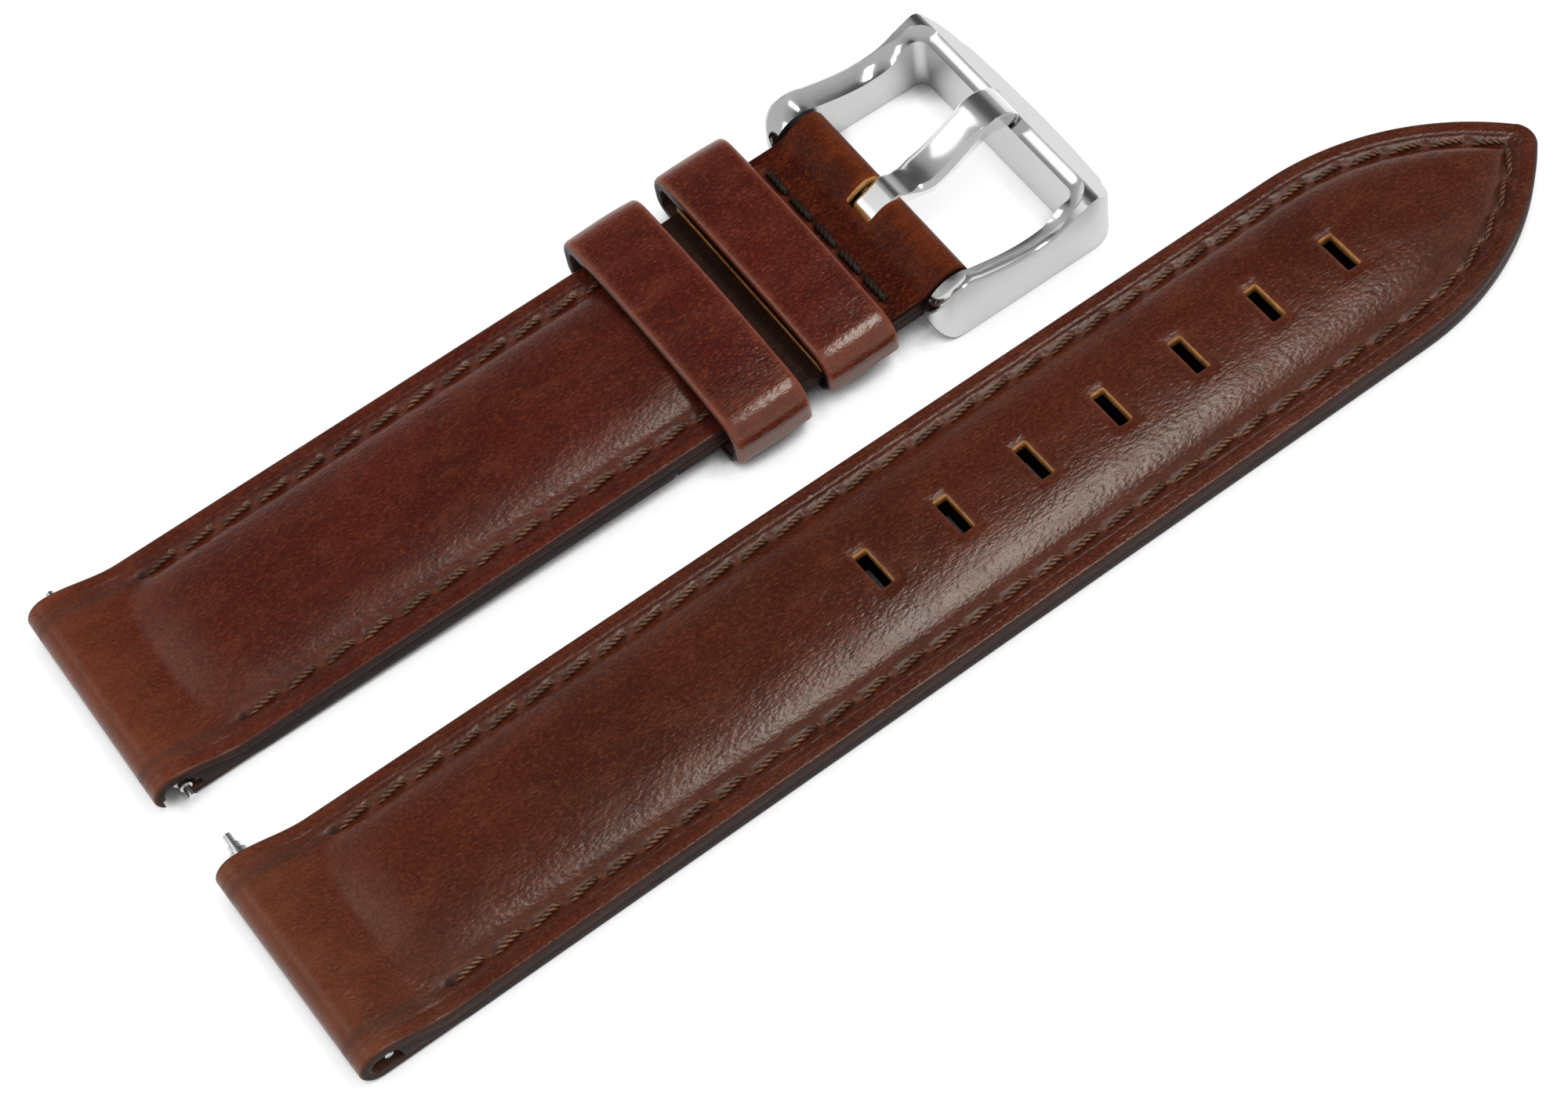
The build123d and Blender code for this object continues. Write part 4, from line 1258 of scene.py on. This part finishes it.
# Tongue: points of its top and underside as shares of its length and of its peak
tongue_top = ((0.0, 0.325), (0.126, 0.245), (0.314, 0.225), (0.473, 0.405), (0.612, 0.685), (0.721, 0.895),
              (0.814, 1.0), (0.899, 0.97), (0.992, 0.79))
tongue_under = ((0.15, -0.03), (0.32, -0.02), (0.48, 0.15), (0.62, 0.40), (0.73, 0.58), (0.80, 0.62))
rest_x = window_front - 0.3
rest_z = notch_z + 0.03
blade_x = 2.4


def tongue_top_z(x):
    """The block behind the bar, which runs into the blade."""
    block = 1.36 - 0.445 * max(0, 1.0 - x)
    xs, zs = zip(*tongue_top)
    blade = float(spline(np.array(xs) * tongue_length, np.array(zs) * tongue_peak, max(x, blade_x)))
    return block + (blade - block) * float(smooth_step(x, 1.1, blade_x))


def tongue_ring(x):
    """One cross-section: a flat underside and a bevelled, lightly hollow top."""
    under_x = [-1.2, 0.6] + [a * tongue_length for a, b in tongue_under] + [rest_x, tongue_length]
    under_z = [-1.3, -1.0] + [b * tongue_peak for a, b in tongue_under] + [rest_z, rest_z]
    rear_in = max(0, -1.35 - x)
    end_in = max(0, x - tongue_length + 0.35)
    top = tongue_top_z(x) - rear_in * 0.8 - end_in * end_in * 1.6
    bottom = float(np.interp(x, under_x, under_z)) + rear_in * 1.1
    wide = float(np.interp(x, (-1.75, 2.1, 4.2, tongue_length), (1.3, 1.3, 1.8, 1.65)))
    wide -= 0.5 * end_in * end_in + 0.25 * rear_in
    on_blade = float(smooth_step(x, blade_x, 3.4) * (1 - smooth_step(x, 8.8, 9.8)))
    bevel = 0.12 + 0.42 * on_blade
    drop = 0.08 + 0.22 * on_blade
    low_bevel = 0.12
    half = [(wide, bottom + low_bevel), (wide, (bottom + top) / 2), (wide, top - drop)]
    half += [(wide - bevel * 0.5, top - drop * 0.42), (wide - bevel, top)]
    half += [((wide - bevel) * t, top - 0.10 * on_blade * (1 - t * t)) for t in (0.9, 0.6, 0.25)]
    foot = [(wide - low_bevel, bottom), (0, bottom), (low_bevel - wide, bottom)]
    return [(x, y, z) for y, z in [(-y, z) for y, z in half] + half[::-1] + foot]


def tongue_piece():
    places = np.concatenate(
        [[-1.75, -1.72, -1.6, -1.4], np.linspace(-1.1, 1.9, 10), np.linspace(2.3, rest_x, 34),
         np.linspace(rest_x + 0.12, tongue_length - 0.25, 8), tongue_length - np.array([0.1, 0.03, 0])]
    )
    rings = [tongue_ring(x) for x in places]
    piece = new_piece("buckle_tongue_steel", *loop_body(rings), 0, [brightened_tongue_steel], buckle_place)
    bore = rod_cutter("bore_cutter", tongue_bore_radius, (-3.0, 3.0), 48, satin, buckle_place)
    punch(piece, [bore])
    discard([bore])
    soften(piece, 0.09)
    return piece


buckle_tongue = tongue_piece()

# Bars and springs keep their solids and get their steel
for name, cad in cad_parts.items():
    if "bar" in name:
        is_spring = "spring" in name
        cad.data.materials.clear()
        cad.data.materials.append(spring_steel if is_spring else bar_steel)

# What each piece rides on and stands for
rides = (
    (tail_upper, "tail_strap", ("tail_strap_upper",), "tail_half_leather"),
    (tail_padding, "tail_strap", ("tail_strap_padding",), "padding_felt"),
    (tail_lining, "tail_strap", ("tail_strap_lining",), "lining_leather"),
    (tail_seam, "tail_strap", ("tail_strap_stitch",), "waxed_thread"),
    (buckle_upper, "buckle_strap", ("buckle_strap_upper",), "buckle_half_leather"),
    (buckle_padding, "buckle_strap", ("buckle_strap_padding",), "padding_felt"),
    (buckle_lining, "buckle_strap", ("buckle_strap_lining",), "lining_leather"),
    (far_seam, "buckle_strap", ("buckle_strap_stitch_far",), "waxed_thread"),
    (near_seam, "buckle_strap", ("buckle_strap_stitch_near",), "waxed_thread"),
    (cross_seam, "buckle_strap", ("buckle_end_cross_stitch",), "waxed_thread"),
    (flap, "buckle_strap", ("buckle_end_flap",), "flap_leather"),
    (fixed_keeper, "buckle_strap", ("fixed_keeper",), "keeper_leather"),
    (free_keeper, "sliding_keeper", ("free_keeper",), "keeper_leather"),
    (buckle_frame, "frame", ("buckle_frame",), "polished_steel"),
    (buckle_tongue, "tongue", ("buckle_tongue",), "polished_steel"),
)
for piece, body, nodes, slot_name in rides:
    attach(piece, body)
    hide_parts(*nodes)


# Floor, light and camera
def bare_tree(owner):
    """The empty node tree of a material or a world."""
    owner.use_nodes = True
    owner.node_tree.nodes.clear()
    return owner.node_tree


def seen_or_felt(tree, felt, seen):
    """The shader for lighting the object, or the one for rays that show it behind or in the object."""
    path = tree.nodes.new("ShaderNodeLightPath")
    direct = maths(tree, "MAXIMUM", path.outputs["Is Camera Ray"], path.outputs["Is Glossy Ray"])
    direct = maths(tree, "MAXIMUM", direct, path.outputs["Is Transmission Ray"])
    choose = tree.nodes.new("ShaderNodeMixShader")
    for socket, value in zip(choose.inputs, (direct, felt.outputs[0], seen.outputs[0])):
        tree.links.new(value, socket)
    return choose.outputs[0]


def studio_piece(name, points, faces, material):
    mesh = bpy.data.meshes.new(name)
    mesh.from_pydata(points, [], faces)
    mesh.materials.append(material)
    piece = bpy.data.objects.new(name, mesh)
    bpy.context.scene.collection.objects.link(piece)
    return piece


def studio_floor(size=1.5):
    """A white table that keeps a soft shadow, with painted shade where the strap closes it in."""
    material = bpy.data.materials.new("white_table")
    tree = bare_tree(material)
    open_sky = node(tree, "AmbientOcclusion", {"samples": 8}, Distance=4 * MM).outputs["AO"]
    # Painted shade: the glow fades where ambient occlusion finds the table closed in by the strap
    glow = node(tree, "Emission", Color=(1, 1, 1), Strength=span(tree, open_sky, 0.36, 0.53, 0.0, 0.78))
    paper = node(tree, "BsdfDiffuse", Color=(0.36, 0.36, 0.36))
    both = tree.nodes.new("ShaderNodeAddShader")
    tree.links.new(glow.outputs[0], both.inputs[0])
    tree.links.new(paper.outputs[0], both.inputs[1])
    plain = node(tree, "BsdfDiffuse", Color=(0.8, 0.8, 0.8))
    node(tree, "OutputMaterial", Surface=seen_or_felt(tree, plain, both))
    corners = [(-size, -size, 0), (size, -size, 0), (size, size, 0), (-size, size, 0)]
    floor = studio_piece("floor", corners, [(0, 1, 2, 3)], material)
    floor.location.z = -0.05 * MM


def studio_ceiling(radius=1.3, card_direction=(0.35, 0.47, 0.81)):
    """The dim room above the table, seen only in reflections, with a dark card opposite the camera."""
    material = bpy.data.materials.new("dim_room")
    tree = bare_tree(material)
    facing = tree.nodes.new("ShaderNodeVectorMath")
    facing.operation = "DOT_PRODUCT"
    tree.links.new(tree.nodes.new("ShaderNodeTexCoord").outputs["Object"], facing.inputs[0])
    facing.inputs[1].default_value = Vector(card_direction).normalized() / radius
    ramp = tree.nodes.new("ShaderNodeValToRGB")
    tree.links.new(facing.outputs["Value"], ramp.inputs[0])
    stops = ramp.color_ramp.elements
    for place in (0.55, 0.85, 0.94):
        stops.new(place)
    for stop, level in zip(stops, (0.62, 0.55, 0.36, 0.12, 0.08)):
        stop.color = (level, level, level, 1)
    glow = node(tree, "Emission", Color=ramp.outputs[0], Strength=1.0)
    node(tree, "OutputMaterial", Surface=glow.outputs[0])
    turns = [k / 24 * pi for k in range(48)]
    rings = []
    for lift in np.linspace(radians(10), radians(89), 16):
        wide = radius * cos(lift)
        rings.append([(wide * cos(turn), wide * sin(turn), radius * sin(lift)) for turn in turns])
    points, faces = loop_body(rings)
    ceiling = studio_piece("studio_ceiling", points.tolist(), faces[:-2] + faces[-1:], material)
    ceiling.visible_camera = False
    ceiling.visible_diffuse = False
    ceiling.visible_transmission = False
    ceiling.visible_shadow = False


def soft_light(name, direction, distance, size, power):
    """A rectangular lamp that looks at the middle of the scene."""
    light = bpy.data.lights.new(name, "AREA")
    light.shape = "RECTANGLE"
    light.size, light.size_y = size
    light.energy = power
    lamp = bpy.data.objects.new(name, light)
    lamp.location = Vector(direction).normalized() * distance
    lamp.rotation_euler = (-lamp.location).to_track_quat("-Z", "Y").to_euler()
    bpy.context.scene.collection.objects.link(lamp)


def world_light(strength):
    world = bpy.data.worlds.new("studio")
    bpy.context.scene.world = world
    tree = bare_tree(world)
    dim = node(tree, "Background", Color=(1, 1, 1), Strength=strength)
    white = node(tree, "Background", Color=(1, 1, 1), Strength=1.0)
    node(tree, "OutputWorld", Surface=seen_or_felt(tree, dim, white))


def photo_camera():
    """The photograph's viewpoint, found from the corners of both halves and the buckle."""
    photo_width = 2000
    focal_length = 4618.302
    azimuth, elevation, roll = radians(27.957), radians(58.171), radians(-9.697)
    spot = Vector((-0.078351, -0.137085, 0.234456))
    ahead = Vector((sin(azimuth) * cos(elevation), cos(azimuth) * cos(elevation), -sin(elevation)))
    level = Vector((cos(azimuth), -sin(azimuth), 0))
    up = level.cross(ahead)
    right_way = level * cos(roll) + up * sin(roll)
    up_way = up * cos(roll) - level * sin(roll)
    turn = Matrix((right_way, up_way, -ahead)).transposed().to_4x4()
    lens = bpy.data.cameras.new("photo_camera")
    lens.sensor_width = 36.0
    lens.lens = focal_length / photo_width * lens.sensor_width
    lens.clip_start = 0.01
    camera = bpy.data.objects.new("photo_camera", lens)
    camera.matrix_world = Matrix.Translation(spot) @ turn
    bpy.context.scene.collection.objects.link(camera)
    bpy.context.scene.camera = camera


studio_floor()
studio_ceiling()
world_light(0.64)
soft_light("key", (0.29, -0.085, 0.95), 0.75, (0.42, 0.09), 1.65)
soft_light("side", (-0.56, 0.46, 0.68), 0.9, (0.34, 0.40), 0.42)
photo_camera()
bpy.context.scene.view_settings.view_transform = "Standard"
